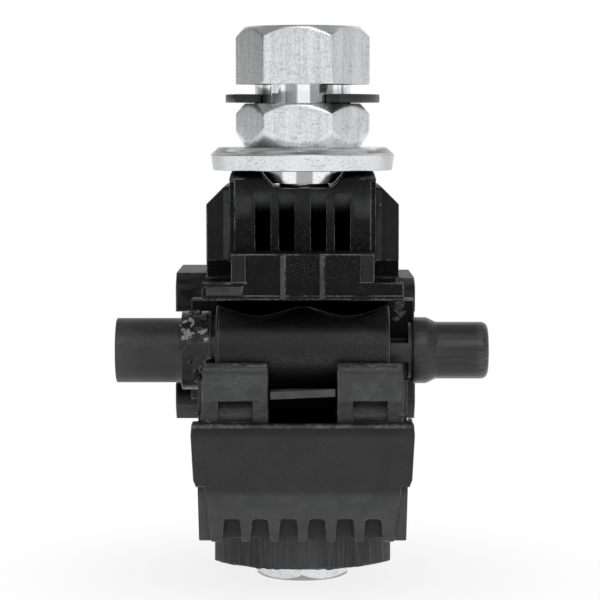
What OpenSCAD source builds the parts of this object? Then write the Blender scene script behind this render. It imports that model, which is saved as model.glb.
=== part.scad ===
// Insulation piercing tap connector for insulated overhead cables.
// Two moulded jaws on one bolt: the main cable channel lies behind the bolt, and a rubber sleeve for the
// tap cable lies in front of it. Toothed blades on both sides of the bolt bridge the two cables.
// Frame: origin on the bolt axis at the underside of the bolt head, +Z up the bolt, X along the cables,
// -Y towards the tap sleeve. All sizes are in millimetres.

/* [Bolt] */
// Thread diameter of the clamping bolt
bolt_d = 6; // [5:0.25:7]
// Length of the bolt under its head
bolt_l = 55.5; // [53:0.5:60]
// Width of the bolt head across its flats
head_af = 10; // [9:0.25:11]
// Height of the bolt head
head_h = 4; // [3.5:0.1:5]
// Height of the chamfer under the bolt head
head_chamfer = 0.75; // [0.4:0.05:1]
// Length of the chamfer at the end of the bolt
bolt_tip = 0.8; // [0.5:0.05:1.2]
// How far the bolt head stands out of the boss
head_proud = 2.55; // [2:0.05:3]
// Turn of the bolt head about the bolt in degrees
head_turn = 30; // [0:1:60]
// Gap round the bolt in the lower jaw
bolt_gap = 0.2; // [0.1:0.05:0.4]

/* [Shear nut] */
// Width of both nut hexagons across their flats
nut_af = 13; // [12:0.25:14]
// Height of the holding hexagon, which stays on the bolt
hold_hex_h = 4.8; // [4.5:0.1:6.5]
// Diameter of the neck that shears
neck_d = 10.5; // [9:0.1:11.5]
// Height of the neck that shears
neck_h = 2.1; // [1.7:0.1:3]
// Height of the drive hexagon, which breaks off
drive_hex_h = 6.3; // [5.5:0.1:8]
// Height of the chamfers on top of the hexagons
hex_chamfer = 1.2; // [0.6:0.05:1.6]
// Height of the chamfer under the holding hexagon
foot_chamfer = 1.85; // [1:0.05:2.2]
// How far the chamfers cut into the corners of the hexagons
corner_cut = 1.1; // [0.8:0.05:1.3]
// Width of the countersink at the top of the nut
countersink = 0.7; // [0.4:0.05:1]
// Turn of the nut about the bolt in degrees
nut_turn = -5; // [-30:1:30]
// Gap between the nut and the bolt
thread_gap = 0.1; // [0.05:0.01:0.2]

/* [Stop ring] */
// Outside diameter of the split ring on the shear neck
ring_d = 17; // [15:0.1:19]
// Thickness of the split ring
ring_t = 0.9; // [0.6:0.05:1.2]
// Gap between the split ring and the neck
ring_gap = 0.1; // [0.05:0.05:0.3]
// Angle that the opening of the ring takes
ring_open = 62; // [40:1:80]
// Direction of the opening of the ring
ring_open_at = 267; // [200:1:320]

/* [Dome washer] */
// Diameter of the washer
washer_d = 20.3; // [18:0.1:22]
// Thickness of the washer
washer_t = 2.5; // [1.8:0.05:2.8]
// Width of the chamfer on top of the washer
washer_chamfer = 0.9; // [0.5:0.05:1.2]
// Height of that chamfer
washer_chamfer_h = 0.8; // [0.4:0.05:1]
// How far the rim of the washer draws in towards its bottom
washer_draft = 0.25; // [0:0.05:0.4]
// Gap between the bolt and the holes of the washer and the upper jaw
slack = 0.3; // [0.2:0.05:0.5]
// Width of the dome under the washer
dome_w = 9; // [8.5:0.1:10]
// Radius of the dome under the washer
dome_r = 5.12; // [5:0.02:5.6]
// Depth of the saddle for the dome in the upper jaw
saddle_h = 1.75; // [1.7:0.05:1.85]
// Gap between the dome and its saddle
saddle_gap = 0.12; // [0.05:0.01:0.3]

/* [Main channel] */
// Radius of the largest main cable
main_r = 7.2; // [6.5:0.05:7.6]
// Wall between the bolt hole and the main cable
main_web = 1.9; // [1.6:0.05:2.5]
// Height of the main cable axis
main_z = 25.65; // [25.25:0.05:26.05]
// Thickness of the main seals
seal_t = 2; // [1.6:0.05:2.4]
// Length of the seals along the cables
seal_l = 18; // [16.5:0.1:18.4]
// Gap between a seal and the jaw that holds it
seal_gap = 0.05; // [0.02:0.01:0.15]
// Thickness of the jaw around the main seals
hood_t = 1.75; // [1.4:0.05:2.2]
// Length of the ears of both jaws along the cable
ear_l = 27; // [26:0.1:28]
// How far the ears sit towards the entry of the tap cable
ear_shift = 0.8; // [0:0.05:1]
// How far the back of the lower jaw stays inside the round of the hood
back_trim = 1.5; // [1:0.1:2]
// Thickness of the lower ears
lower_ear_t = 2.4; // [1.8:0.05:2.8]
// Thickness of the upper ears
upper_ear_t = 1.6; // [1.2:0.05:2]
// Thickness of the lower ears under the cable
lower_ear_floor = 1.6; // [1.4:0.05:2]
// Thickness of the upper ears over the cable
upper_ear_roof = 1; // [0.8:0.05:1.4]
// Radius that rounds the outline of the lower ears
lower_ear_round = 12; // [11.4:0.1:12.6]
// Radius that rounds the outline of the upper ears
upper_ear_round = 10.8; // [10.4:0.1:11.4]

/* [Tap sleeve] */
// Radius of the drum in the middle of the sleeve
drum_r = 4.67; // [4.5:0.01:4.8]
// Length of the drum
drum_l = 18.4; // [17.5:0.1:18.5]
// Radius of the ridge at each end of the drum
ridge_r = 4.82; // [4.75:0.01:4.95]
// Width of the ridge at each end of the drum
ridge_w = 0.4; // [0.2:0.05:0.6]
// Wall between the bolt hole and the drum
tap_web = 1.5; // [1.3:0.05:2]
// Height of the tap cable axis
tap_z = 26; // [25.8:0.05:26.2]
// Radius of the entry tube
entry_r = 3.45; // [3.3:0.05:3.7]
// Distance from the bolt axis to the open end of the entry tube
entry_reach = 19.9; // [18:0.1:22]
// Radius of the bore for the tap cable
entry_bore_r = 2.75; // [2.5:0.05:2.9]
// Radius of the bore in the drum
drum_bore_r = 3; // [2.95:0.01:3.1]
// Radius of the collar between the entry tube and the drum
collar_r = 4.2; // [4:0.05:4.3]
// Distance from the bolt axis to the outer face of the collar
collar_reach = 12.9; // [12.4:0.1:13.5]
// Width of the groove between the collar and the drum
groove_w = 0.5; // [0.3:0.05:0.8]
// Radius at the bottom of that groove
groove_r = 3.7; // [3.5:0.05:3.9]
// Length of each lens window in the drum
window_l = 8.6; // [8:0.1:9]
// Width of each lens window in the drum
window_w = 6.2; // [5.6:0.1:6.6]

/* [End cap] */
// Radius of the spigot that carries the cap
spigot_r = 2.95; // [2.9:0.01:3]
// Radius of the bore in the spigot and the cap
cap_bore_r = 2.35; // [2.2:0.05:2.45]
// How far the spigot reaches past the collar of the cap
spigot_over = 0.4; // [0.2:0.05:0.5]
// Gap between the spigot and the cap
cap_gap = 0.05; // [0.02:0.01:0.1]
// Distance from the bolt axis to the mouth of the cap
cap_reach_in = 11.6; // [11.2:0.1:12]
// Length of the collar of the cap
cap_collar_l = 1.6; // [1:0.1:2]
// Radius of the collar of the cap
cap_collar_r = 3.55; // [3.45:0.05:3.8]
// Length of the taper behind the collar
cap_taper_l = 1.1; // [0.5:0.05:1.4]
// Radius of the closed tube of the cap
cap_r = 3.05; // [3:0.01:3.2]
// Distance from the bolt axis to the closed end of the cap
cap_reach_out = 19.8; // [18.5:0.1:22]
// Thickness of the closed end of the cap
cap_end_t = 1.2; // [0.8:0.1:2]
// Height of the strips that join the drum to the spigot
strip_h = 2; // [1.6:0.1:2.6]

/* [Contact blades] */
// Thickness of the blades
blade_t = 1.2; // [0.8:0.05:1.5]
// Distance from the bolt axis to the middle of a blade
blade_x = 5.7; // [5.4:0.05:6]
// Height of the teeth
tooth_h = 0.95; // [0.6:0.05:1.1]
// Width of the flat on the tip of a tooth
tooth_tip = 0.25; // [0.1:0.05:0.4]
// Number of notches between the teeth in the main channel
main_notches = 6; // [4:1:6]
// Number of notches between the teeth at the tap sleeve
tap_notches = 4; // [2:1:4]
// Angle between neighbouring teeth in the main channel
main_tooth_pitch = 14; // [12:0.5:15]
// Angle between neighbouring teeth at the tap sleeve
tap_tooth_pitch = 19; // [17:0.5:20]
// Half the width of a blade at the tap sleeve
tap_blade_half = 3.2; // [2.8:0.05:3.3]
// Half the width of a blade in the main channel
main_blade_half = 5.5; // [5:0.05:5.8]
// Height of the bridge between the two toothed ends of a blade
bridge_h = 2; // [1.6:0.05:2.2]
// How far a blade reaches into the jaw behind the main seal
blade_root = 0.95; // [0.6:0.05:1.1]
// How far the tooth tips lie back from the largest cable
tooth_back = 0.1; // [0.05:0.05:0.2]
// How far the upper blades stand out of the seal over the drum
tap_proud = 0.2; // [0.1:0.05:0.3]
// Height at which the blades end beside a cable, as a share of its radius
blade_reach = 0.7; // [0.66:0.01:0.74]
// Gap between a blade and its slot
blade_gap = 0.1; // [0.05:0.05:0.15]

/* [Lower jaw] */
// Height of the flat bottom of the lower jaw
lower_z = 6.1; // [5.7:0.05:6.5]
// Width of the boss round the bolt head, between its flat sides
boss_w = 19.2; // [18:0.1:20]
// Radius of the rounded front and back of the boss
boss_r = 11.45; // [11:0.05:12]
// Gap round the bolt head in the boss
head_gap = 0.1; // [0.05:0.05:0.3]
// Width of the lower jaw behind its apron
body_w = 22; // [21.6:0.1:22.6]
// Width of the apron at its top
apron_w = 23.4; // [22.8:0.1:24.4]
// Width of the apron at the bottom of its upright part
apron_low_w = 22.9; // [22.4:0.1:23.6]
// Width of the sloping skirt of the apron at its top
skirt_top_w = 20.7; // [20:0.1:21.4]
// Width of the sloping skirt of the apron at its bottom
skirt_w = 19.4; // [19:0.1:20.6]
// How far the apron stands in front of the tabs
apron_proud = 1.3; // [1:0.05:1.5]
// Thickness of the apron
apron_t = 2.5; // [2:0.05:3]
// Height of the bend between the apron and its skirt
bend_z = 11.9; // [11.5:0.05:12.1]
// Height of the notch at the sides of the apron
notch_z = 12.85; // [12.6:0.05:13.3]
// Height of the top of the apron
apron_top_z = 19.05; // [18.7:0.05:19.3]
// How far the skirt slopes back over its height
skirt_back = 3; // [2:0.1:4]
// Number of arched slots in the bottom edge of the skirt
slot_count = 6; // [4:1:6]
// Pitch of the arched slots
slot_pitch = 2.98; // [2.6:0.02:3]
// Width of an arched slot at its bottom
slot_w = 2.06; // [1.6:0.02:2.2]
// Width of an arched slot at its top
slot_top_w = 1.66; // [1.2:0.02:1.8]
// Height of an arched slot
slot_h = 2.65; // [2.2:0.05:3.2]
// Height of the top of the front tabs
tab_top_z = 25.15; // [24.5:0.05:25.6]
// Gap between the two front tabs
tab_gap = 7.2; // [6.6:0.1:8]
// Distance between the outer edges of the tabs
tab_w = 21.1; // [20.6:0.1:21.6]
// Thickness of the tabs
tab_t = 1.6; // [1.3:0.05:1.9]
// Height of the step under the tabs
tab_step_z = 21.3; // [20.9:0.05:21.6]
// Width of the hollow at the foot of a tab
hollow_w = 3.6; // [3:0.1:4.5]
// Depth of the pit between the tabs, below the top of the apron
pit_deep = 3.2; // [2.4:0.1:3.6]
// Thickness of the apron in front of that pit
pit_wall = 0.9; // [0.8:0.05:1.2]
// Height of the lip of the seal between the tabs
lip_h = 0.8; // [0.6:0.05:1.3]
// How far that lip stands above the front edge of its seal
lip_rise = 0.5; // [0.3:0.05:0.6]
// Gap between the drum and the tabs
tab_clear = 0.35; // [0.2:0.05:0.6]
// Gap at each end of the drum in its pocket
pocket_gap = 0.15; // [0.1:0.05:0.2]
// Height of the seal under the drum
pad_h = 1.5; // [1.4:0.05:1.6]
// How far that seal reaches up round the drum
pad_wrap = 0.55; // [0.45:0.05:0.65]
// How far that seal stays in front of the back of the drum
pad_inset = 0.4; // [0.3:0.05:0.5]
// How far the end walls of the pocket stay under the axis of the drum
end_wall_drop = 2.6; // [2.4:0.05:2.8]
// How far the web round the bolt stands above the rims of the main channel
web_rise = 0.85; // [0.7:0.05:0.95]
// Width of the fence that stands behind the drum
fence_w = 24.4; // [22.4:0.1:25]
// Gap between the fence and the drum
fence_gap = 0.1; // [0.05:0.01:0.12]
// Gap between the fence and the bottom of the upper jaw
fence_clear = 0.8; // [0.7:0.05:1.2]
// Height of the rims of the lower main channel
lower_rim_z = 21.1; // [20.7:0.05:21.4]

/* [Upper jaw] */
// Height of the bottom of the front flange
flange_z = 31.9; // [31.7:0.05:32]
// Height of the flange at its corners
flange_corner_h = 1.75; // [1.4:0.05:2]
// Height of the flange in the middle
flange_h = 4.8; // [4.6:0.05:5]
// Width of the flange
flange_w = 21.1; // [20.6:0.1:21.6]
// Thickness of the front wall of the flange
flange_t = 1.5; // [1.2:0.05:1.8]
// Width of the slotted front panel
panel_w = 14.7; // [14.2:0.1:15.2]
// How far the flange block is wider than the panel on each side
panel_over = 0.1; // [0.05:0.05:0.2]
// Distance from the bolt axis to the front panel
panel_y = 9.2; // [8.8:0.05:9.6]
// Width of the top block under the washer
top_w = 15.7; // [15.3:0.1:16.4]
// Height of the top block
top_h = 1; // [0.8:0.05:1.2]
// Height of the top of the upper jaw
top_z = 45; // [44.8:0.05:45.3]
// Radius of the crown on top of the upper jaw
crown_r = 70; // [50:1:72]
// Width across the wings
wing_w = 20.9; // [20.4:0.1:21.4]
// Height of the bottom of the wings
wing_z = 35.35; // [35.1:0.05:35.6]
// How far the wings end below the top of the upper jaw
wing_drop = 1.6; // [1.3:0.05:1.9]
// How far the wings stand back from the front panel
wing_back = 3.4; // [3:0.1:3.8]
// How far the sides of the tower stand back from the front panel
tower_back = 0.8; // [0.5:0.05:1.2]
// Size of the slanted strips between the tower and the wings
strip_size = 0.6; // [0.3:0.05:0.8]
// Size of the slanted corners of the wings
wing_corner = 1.9; // [1.4:0.05:2.4]
// Width of the middle rib of the panel
middle_rib_w = 1.74; // [1.5:0.02:1.9]
// Width of the thin ribs of the panel
thin_rib_w = 0.9; // [0.7:0.02:1]
// Width of the slots of the panel
panel_slot_w = 1.66; // [1.5:0.02:1.75]
// Height of the slots of the panel
panel_slot_h = 6.2; // [5.8:0.05:6.3]
// Radius of the rounded lintel over the slots of the panel
lintel_r = 3.2; // [2.8:0.1:3.6]
// Depth of the slots of the panel at their tops
lintel_back = 0.15; // [0.1:0.05:0.4]
// Depth of the slots of the panel
panel_slot_deep = 4.2; // [3.6:0.05:4.4]
// Height of the rims of the upper main channel
upper_rim_z = 29.05; // [29.05:0.05:29.6]
// Length of the seal over the drum along the tap cable
roof_seal_l = 13.8; // [13.4:0.1:14]
// Gap between that seal and the drum when the jaws are closed on it
roof_seal_gap = 0.23; // [0.2:0.01:0.3]
// Height of the bottom of that seal above its hollow's axis
roof_seal_z = 3.7; // [3.6:0.05:3.8]
// Height of that seal
roof_seal_h = 1.9; // [1.7:0.05:2]
// How far that seal reaches in front of the drum's axis
roof_seal_front = 3.4; // [3.3:0.05:3.6]
// Height of the hollow behind the flange above the bottom of that seal
hollow_h = 0.9; // [0.8:0.05:1]
// Wall in front of the bolt hole in the upper jaw
slot_wall = 1.25; // [1.2:0.05:1.3]
// Room above the fence when the jaws are closed
groove_clear = 0.35; // [0.3:0.05:0.4]
// How far the flange stands behind the apron
flange_inset = 1.6; // [1.4:0.05:1.8]
// How far the sloping roof starts below the top of the upper jaw
roof_drop = 3.1; // [2.8:0.1:3.4]
// Angle from the upright at which the sloping roof meets the round hood
roof_meet = 34.8; // [32:0.2:38]
// How far the nut can still close the jaws
close_travel = 2; // [1.6:0.1:2]
// Gap over the drum that the tightening nut can close
tap_open = 3.4; // [3.2:0.05:3.6]
// Largest rocking angle of the upper jaw on the dome
rock_angle = 2.5; // [1.5:0.1:2.6]

/* [Hidden] */
$fn = 64;

jaw_colour = [0.12, 0.12, 0.13];
rubber_colour = [0.17, 0.17, 0.17];
aluminium_colour = [0.80, 0.81, 0.82];
zinc_colour = [0.72, 0.74, 0.76];
contact_colour = [0.78, 0.74, 0.66];

// Overlap that a cut needs beyond the face that it opens
eps = 1;

// Places of the two cable axes
bolt_r = bolt_d / 2;
hole_r = bolt_r + bolt_gap;
tap_y = -(hole_r + tap_web + drum_r);
main_y = hole_r + main_web + main_r;

// Radii round the main cable
trough_r = main_r + seal_t + seal_gap;
hood_r = trough_r + hood_t;
trough_l = seal_l + 2 * seal_gap;
back_y = main_y + hood_r - back_trim;

// The stack on top of the upper jaw
washer_z = top_z + saddle_gap;
dome_z = washer_z + sqrt(dome_r * dome_r - dome_w * dome_w / 4);
saddle_r = dome_r + saddle_gap;
nut_z = washer_z + washer_t;
neck_z = nut_z + hold_hex_h;
drive_z = neck_z + neck_h;
nut_top_z = drive_z + drive_hex_h;

// The bolt hole in the upper jaw is long enough for the jaw to rock
slack_r = bolt_r + slack;
rock_shift = ceil(100 * (dome_z - flange_z) * sin(rock_angle)) / 100;
upper_slot_half = slack_r + rock_shift;

// The trough of the tap sleeve
tab_back_y = tap_y - drum_r - tab_clear;
tab_front_y = tab_back_y - tab_t;
apron_y = tab_front_y - apron_proud;
pocket_l = drum_l + 2 * pocket_gap;
pad_top_z = tap_z - drum_r + pad_wrap;
pad_z = pad_top_z - pad_h;
pad_back_y = tap_y + drum_r - pad_inset;
end_wall_z = tap_z - end_wall_drop;
web_top_z = lower_rim_z + web_rise;
fence_front_y = tap_y + ridge_r + fence_gap;
fence_back_y = -hole_r / 2;
fence_top_z = flange_z - fence_clear;

// The upper tap seal follows the drum at a distance
upper_tap_z = tap_z + tap_open;
upper_pad_r = drum_r + roof_seal_gap;
upper_pad_z = upper_tap_z + roof_seal_z;
upper_pad_top_z = upper_pad_z + roof_seal_h;
flange_y = apron_y + flange_inset;
flange_back_y = flange_y + flange_t;
upper_pad_front_y = tap_y - roof_seal_front;
upper_pad_back_y = -(upper_slot_half + slot_wall);
hollow_top_z = upper_pad_z + hollow_h;
fence_groove_y = fence_back_y + rock_shift + fence_gap;
fence_groove_z = fence_top_z + close_travel + groove_clear;

// Slope of the roof over the main channel
roof_high = [panel_y, top_z - roof_drop];
roof_low = [main_y + hood_r * sin(roof_meet), main_z + hood_r * cos(roof_meet)];
roof_slope = atan2(roof_low[1] - roof_high[1], roof_low[0] - roof_high[0]);

// Draws a side outline, Y to the right and Z up, and runs it along X
module along_x(length) {
    translate([-length / 2, 0, 0])
        rotate([90, 0, 90])
            linear_extrude(length)
                children();
}

// Draws a front outline, X to the right and Z up, and runs it from y0 back to y1
module along_y(y0, y1) {
    translate([0, y1, 0])
        rotate([90, 0, 0])
            linear_extrude(y1 - y0)
                children();
}

// A box given by its lowest and highest corners
module span(low, high) {
    translate(low)
        cube(high - low);
}

// Does the same on both sides of the bolt
module both_sides() {
    children();
    mirror([1, 0, 0])
        children();
}

// A round rod along X
module rod_x(y, z, r, x0, x1) {
    translate([x0, y, z])
        rotate([0, 90, 0])
            cylinder(r = r, h = x1 - x0);
}

// A hexagon prism standing on z
module hexagon(af, h, z) {
    translate([0, 0, z])
        cylinder(r = af / sqrt(3), h = h, $fn = 6);
}

// A turned blank that cuts the corners off a hexagon: lower and upper chamfers may be left out
module turned_blank(af, h, z, low_chamfer, high_chamfer, cut) {
    corner_r = af / sqrt(3) + 0.02;
    low_r = corner_r - (low_chamfer > 0 ? cut : 0);
    high_r = corner_r - (high_chamfer > 0 ? cut : 0);
    translate([0, 0, z])
        rotate_extrude()
            polygon([[0, 0], [low_r, 0], [corner_r, low_chamfer], [corner_r, h - high_chamfer],
                [high_r, h], [0, h]]);
}

// Side outline of the ears of one jaw: a block with rounded corners beside the main channel
module ear_side(reach, low_z, high_z, round_r) {
    intersection() {
        translate([main_y - reach, low_z])
            square([2 * reach, high_z - low_z]);
        translate([main_y, main_z])
            circle(round_r);
    }
}

// Runs the side outline of the ears along the cable at both ends of a body
module ear_pair(body) {
    left = [-ear_l / 2 - ear_shift, -body / 2 + eps];
    right = [body / 2 - eps, ear_l / 2 - ear_shift];
    for (ends = [left, right])
        translate([(ends[0] + ends[1]) / 2, 0, 0])
            along_x(ends[1] - ends[0])
                children();
}

// Toothed edge: a disc with notches between the teeth all round its upper or lower arc
module tooth_disc(y, z, r, pitch, count, upper) {
    turn = upper ? 90 : 270;
    inner = 0.1 * r;
    half_w = r * sin(pitch / 2) - tooth_tip / 2;
    root_w = half_w * (inner + tooth_h) / tooth_h;
    translate([y, z]) {
        circle(r);
        for (i = [0 : count - 1])
            rotate(turn + (i - (count - 1) / 2) * pitch)
                polygon([[r - inner, -root_w], [r + tooth_h, 0], [r - inner, root_w]]);
    }
}

// Blank of a lower blade before its teeth are cut, grown by a gap for its slot
module lower_blade_blank(gap) {
    foot_z = main_z - trough_r - blade_root;
    tap_low_y = tap_y - tap_blade_half;
    main_high_y = main_y + main_blade_half;
    tap_top_z = tap_z - drum_r * blade_reach;
    rim_back = 0.2;
    translate([tap_low_y - gap, foot_z - gap])
        square([main_high_y - tap_low_y + 2 * gap, bridge_h + gap]);
    translate([tap_low_y - gap, foot_z - gap])
        square([2 * (tap_blade_half + gap), tap_top_z - foot_z + gap]);
    translate([main_y - main_blade_half - gap, foot_z - gap])
        square([2 * (main_blade_half + gap), lower_rim_z - foot_z - rim_back + gap]);
}

// Blank of an upper blade before its teeth are cut, grown by a gap for its slot
module upper_blade_blank(gap) {
    back_r = trough_r + blade_root;
    bridge_z = main_z + trough_r + blade_root - bridge_h;
    tap_low_y = tap_y - tap_blade_half;
    tap_low_z = upper_pad_z - tap_proud;
    main_low_z = main_z + main_r * blade_reach;
    translate([tap_low_y - gap, bridge_z])
        square([main_y - tap_low_y + gap, bridge_h + gap]);
    translate([tap_low_y - gap, tap_low_z])
        square([2 * (tap_blade_half + gap), bridge_z - tap_low_z + bridge_h + gap]);
    intersection() {
        translate([main_y, main_z])
            circle(back_r + gap);
        translate([main_y - main_blade_half - gap, main_low_z])
            square([2 * (main_blade_half + gap), back_r]);
    }
}

// One lower blade, standing across the cables at x
module lower_blade(x) {
    color(contact_colour)
        translate([x, 0, 0])
            along_x(blade_t)
                difference() {
                    lower_blade_blank(0);
                    tooth_disc(main_y, main_z, main_r + tooth_back, main_tooth_pitch, main_notches, false);
                    tooth_disc(tap_y, tap_z, drum_r + tooth_back, tap_tooth_pitch, tap_notches, false);
                }
}

// One upper blade, standing across the cables at x
module upper_blade(x) {
    color(contact_colour)
        translate([x, 0, 0])
            along_x(blade_t)
                difference() {
                    upper_blade_blank(0);
                    tooth_disc(main_y, main_z, main_r + tooth_back,
                        main_tooth_pitch, main_notches, true);
                    tooth_disc(tap_y, upper_tap_z, upper_pad_r + tooth_back,
                        tap_tooth_pitch, tap_notches, true);
                }
}

module lower_blade_left() {
    lower_blade(-blade_x);
}

module lower_blade_right() {
    lower_blade(blade_x);
}

module upper_blade_left() {
    upper_blade(-blade_x);
}

module upper_blade_right() {
    upper_blade(blade_x);
}

// Slots for a pair of blades
module blade_slots(upper) {
    both_sides()
        translate([blade_x, 0, 0])
            along_x(blade_t + 2 * blade_gap)
                if (upper)
                    upper_blade_blank(blade_gap);
                else
                    lower_blade_blank(blade_gap);
}

// Lining of one half of the main channel
module main_seal(upper) {
    half_angle = upper ? 44 : 52;
    turn = upper ? 0 : 180;
    reach = 2 * trough_r;
    color(rubber_colour)
        difference() {
            along_x(seal_l)
                intersection() {
                    translate([main_y, main_z])
                        difference() {
                            circle(trough_r - seal_gap);
                            circle(main_r);
                        }
                    translate([main_y, main_z])
                        rotate(turn)
                            polygon([[0, 0], [reach * sin(half_angle), reach * cos(half_angle)],
                                [-reach * sin(half_angle), reach * cos(half_angle)]]);
                }
            blade_slots(upper);
        }
}

module upper_main_seal() {
    main_seal(true);
}

module lower_main_seal() {
    main_seal(false);
}

// Pad under the tap sleeve, with a lip that reaches forward between the tabs
module lower_tap_seal() {
    side_gap = 0.15;
    front_gap = 0.1;
    lip_w = tab_gap - 2 * side_gap;
    lip_front_y = tab_front_y + 0.25;
    lip_back_y = tab_back_y + 0.6;
    lip_top_z = pad_top_z + lip_rise;
    color(rubber_colour)
        difference() {
            union() {
                span([-seal_l / 2, tab_back_y + front_gap, pad_z], [seal_l / 2, pad_back_y, pad_top_z]);
                span([-lip_w / 2, lip_front_y, lip_top_z - lip_h], [lip_w / 2, lip_back_y, lip_top_z]);
            }
            rod_x(tap_y, tap_z, drum_r + seal_gap, -seal_l, seal_l);
            for (side = [-1, 1])
                rod_x(tap_y, tap_z, ridge_r + seal_gap,
                    side * (drum_l / 2 - ridge_w / 2) - ridge_w, side * (drum_l / 2 - ridge_w / 2) + ridge_w);
            blade_slots(false);
        }
}

// Pad in the roof of the upper jaw, over the tap sleeve
module upper_tap_seal() {
    color(rubber_colour)
        difference() {
            span([-roof_seal_l / 2, upper_pad_front_y + seal_gap, upper_pad_z],
                [roof_seal_l / 2, upper_pad_back_y - seal_gap, upper_pad_top_z]);
            rod_x(tap_y, upper_tap_z, upper_pad_r, -seal_l, seal_l);
            blade_slots(true);
        }
}

// Clamping bolt with a chamfered hexagon head, one corner of it to the front
module clamp_bolt() {
    color(zinc_colour) {
        rotate(head_turn)
            intersection() {
                hexagon(head_af, head_h, 0);
                turned_blank(head_af, head_h, 0, head_chamfer, 0, 1.2 * head_chamfer);
            }
        translate([0, 0, head_h])
            rotate_extrude()
                polygon([[0, -eps], [bolt_r, -eps], [bolt_r, bolt_l - bolt_tip], [bolt_r - bolt_tip, bolt_l],
                    [0, bolt_l]]);
    }
}

// Double hexagon nut: the upper hexagon breaks off at the neck
module shear_nut() {
    bore_r = bolt_r + thread_gap;
    color(aluminium_colour)
        rotate(nut_turn)
            difference() {
                union() {
                    intersection() {
                        hexagon(nut_af, hold_hex_h, nut_z);
                        turned_blank(nut_af, hold_hex_h, nut_z, foot_chamfer, hex_chamfer, corner_cut);
                    }
                    translate([0, 0, neck_z - eps])
                        cylinder(d = neck_d, h = neck_h + 2 * eps);
                    intersection() {
                        hexagon(nut_af, drive_hex_h, drive_z);
                        turned_blank(nut_af, drive_hex_h, drive_z, 0, hex_chamfer, corner_cut);
                    }
                }
                translate([0, 0, nut_z - eps])
                    cylinder(r = bore_r, h = nut_top_z - nut_z + 2 * eps);
                translate([0, 0, nut_top_z - countersink])
                    cylinder(r1 = bore_r, r2 = bore_r + 2 * countersink, h = 2 * countersink);
            }
}

// Split ring lying on the holding hexagon, round the neck
module stop_ring() {
    reach = 2 * ring_d;
    half = ring_open / 2;
    color(jaw_colour)
        translate([0, 0, neck_z + ring_gap])
            difference() {
                cylinder(d = ring_d, h = ring_t);
                translate([0, 0, -eps])
                    cylinder(d = neck_d + 2 * ring_gap, h = ring_t + 2 * eps);
                translate([0, 0, -eps])
                    linear_extrude(ring_t + 2 * eps)
                        rotate(ring_open_at)
                            polygon([[0, 0], [reach * cos(half), -reach * sin(half)], [reach, 0],
                                [reach * cos(half), reach * sin(half)]]);
            }
}

// Washer with a chamfered rim and a spherical dome that rocks in the saddle of the upper jaw
module dome_washer() {
    r = washer_d / 2;
    color(zinc_colour)
        difference() {
            union() {
                translate([0, 0, washer_z])
                    rotate_extrude()
                        polygon([[0, 0], [r - washer_draft, 0], [r, washer_t - washer_chamfer_h],
                            [r - washer_chamfer, washer_t], [0, washer_t]]);
                intersection() {
                    translate([0, 0, dome_z])
                        sphere(dome_r);
                    translate([0, 0, dome_z - dome_r - eps])
                        cylinder(r = dome_r, h = washer_z - dome_z + dome_r + 2 * eps);
                }
            }
            translate([0, 0, dome_z - dome_r - eps])
                cylinder(r = slack_r, h = 2 * dome_r + washer_t);
        }
}

// Lens windows that let the teeth reach the tap cable
module lens_windows() {
    lens_r = (pow(window_l / 2, 2) + pow(window_w / 2, 2)) / window_w;
    shift = lens_r - window_w / 2;
    bridge = 1;
    middle = 0.4;
    window_x = (window_l + bridge) / 2;
    for (side = [-1, 1], level = [-1, 1])
        translate([side * window_x, tap_y, tap_z + (level > 0 ? middle : -middle - drum_r)])
            intersection() {
                translate([0, shift, 0])
                    cylinder(r = lens_r, h = drum_r);
                translate([0, -shift, 0])
                    cylinder(r = lens_r, h = drum_r);
            }
}

// Rubber sleeve for the tap cable: entry tube, collar, drum with windows, and the spigot of the cap
module tap_sleeve() {
    left = -drum_l / 2;
    right = drum_l / 2;
    spigot_end = cap_reach_in + cap_collar_l + spigot_over;
    end_wall = 0.8;
    strip_start = right + 0.05;
    strip_end = cap_reach_in - 0.4;
    color(rubber_colour)
        difference() {
            union() {
                rod_x(tap_y, tap_z, entry_r, -entry_reach, left);
                rod_x(tap_y, tap_z, collar_r, -collar_reach, left - groove_w);
                rod_x(tap_y, tap_z, groove_r, left - groove_w - eps, left + eps);
                rod_x(tap_y, tap_z, drum_r, left, right);
                rod_x(tap_y, tap_z, ridge_r, left, left + ridge_w);
                rod_x(tap_y, tap_z, ridge_r, right - ridge_w, right);
                rod_x(tap_y, tap_z, spigot_r, right - eps, spigot_end);
            }
            rod_x(tap_y, tap_z, entry_bore_r, -entry_reach - eps, left);
            rod_x(tap_y, tap_z, drum_bore_r, left, right - end_wall);
            rod_x(tap_y, tap_z, cap_bore_r, right - end_wall - eps, spigot_end + eps);
            lens_windows();
            for (level = [-1, 1])
                translate([strip_start, tap_y - drum_r, tap_z + level * (strip_h / 2 + drum_r) - drum_r])
                    cube([strip_end - strip_start, 2 * drum_r, 2 * drum_r]);
        }
}

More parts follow.
